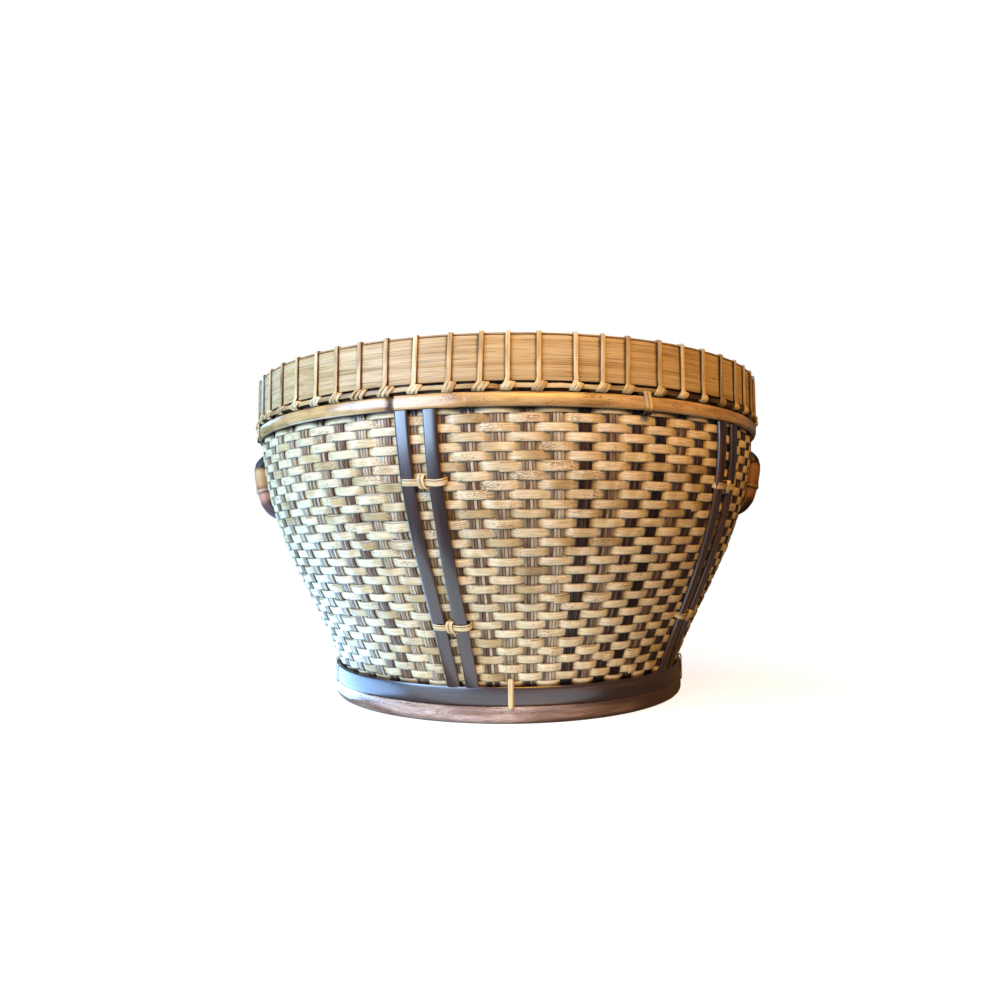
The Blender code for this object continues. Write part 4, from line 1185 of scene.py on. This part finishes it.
# %% Foot ring
half_height = (FOOT_TOP - FLOOR_LEVEL) / 2
half_width = (FOOT_OUTER - FOOT_INNER) / 2
wear = 3.5 * MM
FOOT_JOINT = 200.0
arc = np.radians(np.linspace(0.0, 90.0, 6))
FOOT_SECTION = np.concatenate([
    np.array([(half_height, -half_width + 0.5 * MM), (half_height, 0.0)]),
    np.stack([half_height - wear + wear * np.cos(arc), half_width - wear + wear * np.sin(arc)], axis=-1),
    np.array([
        (0.0, half_width), (-half_height + 0.6 * MM, half_width), (-half_height, half_width - 0.6 * MM),
        (-half_height, -half_width + 0.4 * MM), (-half_height + 0.4 * MM, -half_width),
        (half_height - 0.5 * MM, -half_width),
    ]),
])
WOOD_TONES = ((0.25, "#6c5040"), (0.40, "#a48872"), (0.50, "#c6ae9c"), (0.60, "#dccabc"), (0.75, "#ac8c70"))
foot_wood = fibrous(
    "waxed_hardwood", FOOT_SECTION, WOOD_TONES, broad=(60, 7), fibre=(6, 0.7), depth=0.35,
    fleck="#4a2416", fleck_size=(2.6, 1.0), fleck_patch=(30, 6), roughness=0.36, relief=0.2,
    Specular_IOR_Level=1.0, Coat_Weight=1.0, Coat_Roughness=0.22,
)
azimuth = np.linspace(FOOT_JOINT, FOOT_JOINT + 360.0, 361)
middle = round_axis(azimuth, (FOOT_INNER + FOOT_OUTER) / 2, (FLOOR_LEVEL + FOOT_TOP) / 2)
outs = round_axis(azimuth, 1.0, 0.0)
# The ring is painted darker towards the right, as the shade on that side.
shade_at_right = -0.36 * np.clip(np.sin(np.radians(azimuth)), 0.0, 1.0) ** 0.7
add_strand(
    "foot_ring_wood", foot_wood, "foot_wood", "foot_ring", middle, outs, FOOT_SECTION,
    sharp=35.0, tint=shade_at_right,
)

# %% [markdown]
# ## The lugs
#
# At each side a piece of bamboo root is bent through the wall, as a lug for a cord. It has a charred
# cone above, a pale barrel between two knuckles, and a brown bend that darkens where it goes back into
# the wall. It is a round strand whose radius follows a table of its distance from the wall, its height
# and its radius, in millimetres. The colours change at the same places along it. The right one is painted
# darker, as the shade on that side.

# %% Lugs
LUG = np.array((
    (-6.6, 172.2, 2.0), (-6.4, 176.0, 2.3), (-5.0, 179.6, 2.6), (-1.0, 181.8, 2.8), (3.6, 182.0, 3.3),
    (7.6, 179.8, 4.0), (10.2, 176.8, 4.8), (11.5, 174.2, 5.3), (11.9, 173.0, 5.2), (12.0, 171.9, 5.8),
    (12.2, 167.0, 5.95), (12.3, 161.5, 5.8), (12.3, 156.8, 5.9), (12.3, 155.4, 6.35), (12.3, 154.0, 6.4),
    (12.2, 153.0, 5.7), (12.1, 150.5, 5.45), (11.8, 147.2, 5.45), (11.2, 144.2, 5.5), (10.0, 141.0, 5.2),
    (7.8, 137.8, 5.0), (2.0, 134.2, 4.7), (-3.5, 132.2, 4.3), (-7.8, 128.8, 3.9), (-8.4, 123.8, 3.2),
)) * MM
reach, height, lug_radius = smooth_path(LUG).T
lug_path = np.stack([0 * reach, wall_radius(height) + reach, height], axis=-1)
lug_lengths = distances(lug_path)


def lug_share(height):
    """How far along the lug this height is, on its outer run."""
    outer = (lug_path[:, 1] - wall_radius(lug_path[:, 2])) > 8 * MM
    return float(np.interp(-height * MM, -lug_path[outer, 2], lug_lengths[outer])) / lug_lengths[-1]


root, tree, shader = new_material("bent_root", Specular_IOR_Level=0.5, Roughness=0.36)
along = node(tree, "SeparateXYZ", {0: node(tree, "UVMap", {}).outputs["UV"]}).outputs["X"]
mottle = strip_noise(tree, 5, 4, 3.0)
shifted = calculate(tree, "ADD", along, remap(tree, mottle, 0.3, 0.7, -0.9 * MM, 0.9 * MM))
share = calculate(tree, "DIVIDE", shifted, float(lug_lengths[-1]))
stops = (
    (lug_share(173.6), "#1c1412"), (lug_share(172.2), "#8a5c30"), (lug_share(169.5), "#d0a468"),
    (lug_share(159.0), "#c08c56"), (lug_share(156.2), "#8a5a34"), (lug_share(154.6), "#d8b084"),
    (lug_share(153.0), "#5d3a26"), (lug_share(151.4), "#c89274"), (lug_share(147.0), "#b87e60"),
    (lug_share(144.4), "#6a4230"), (lug_share(140.0), "#44281e"), (0.93, "#140c08"),
)
tone = node(tree, "ValToRGB", {"Fac": share}, stops=stops).outputs[0]
tint = node(tree, "Attribute", {}, attribute_name="tint").outputs["Fac"]
mottled = calculate(tree, "ADD", remap(tree, mottle, 0.3, 0.7, 0.72, 1.15), tint)
tree.links.new(blend(tree, 1.0, tone, mottled, "MULTIPLY"), shader.inputs["Base Color"])
wrinkles = strip_noise(tree, 7, 0.6, 3.0)
bump = node(tree, "Bump", {"Height": wrinkles, "Strength": 0.5, "Distance": 0.25 * MM})
tree.links.new(bump.outputs[0], shader.inputs["Normal"])

ROUND_SECTION = cane_section(2.0, 2.0, sides=18, corner=1.0)
looks = np.tile((1.0, 0.0, 0.0), (len(lug_path), 1))
# The right lug is painted darker, as the shade on that side.
for name, azimuth, side_shade in (("handle_right", 90.0, -0.5), ("handle_left", -90.0, 0.0)):
    centres, facings = beside(azimuth, lug_path, looks)
    add_strand(
        name + "_root", root, "bent_root", name, centres, facings, ROUND_SECTION, lug_radius, lug_radius,
        tint=side_shade,
    )
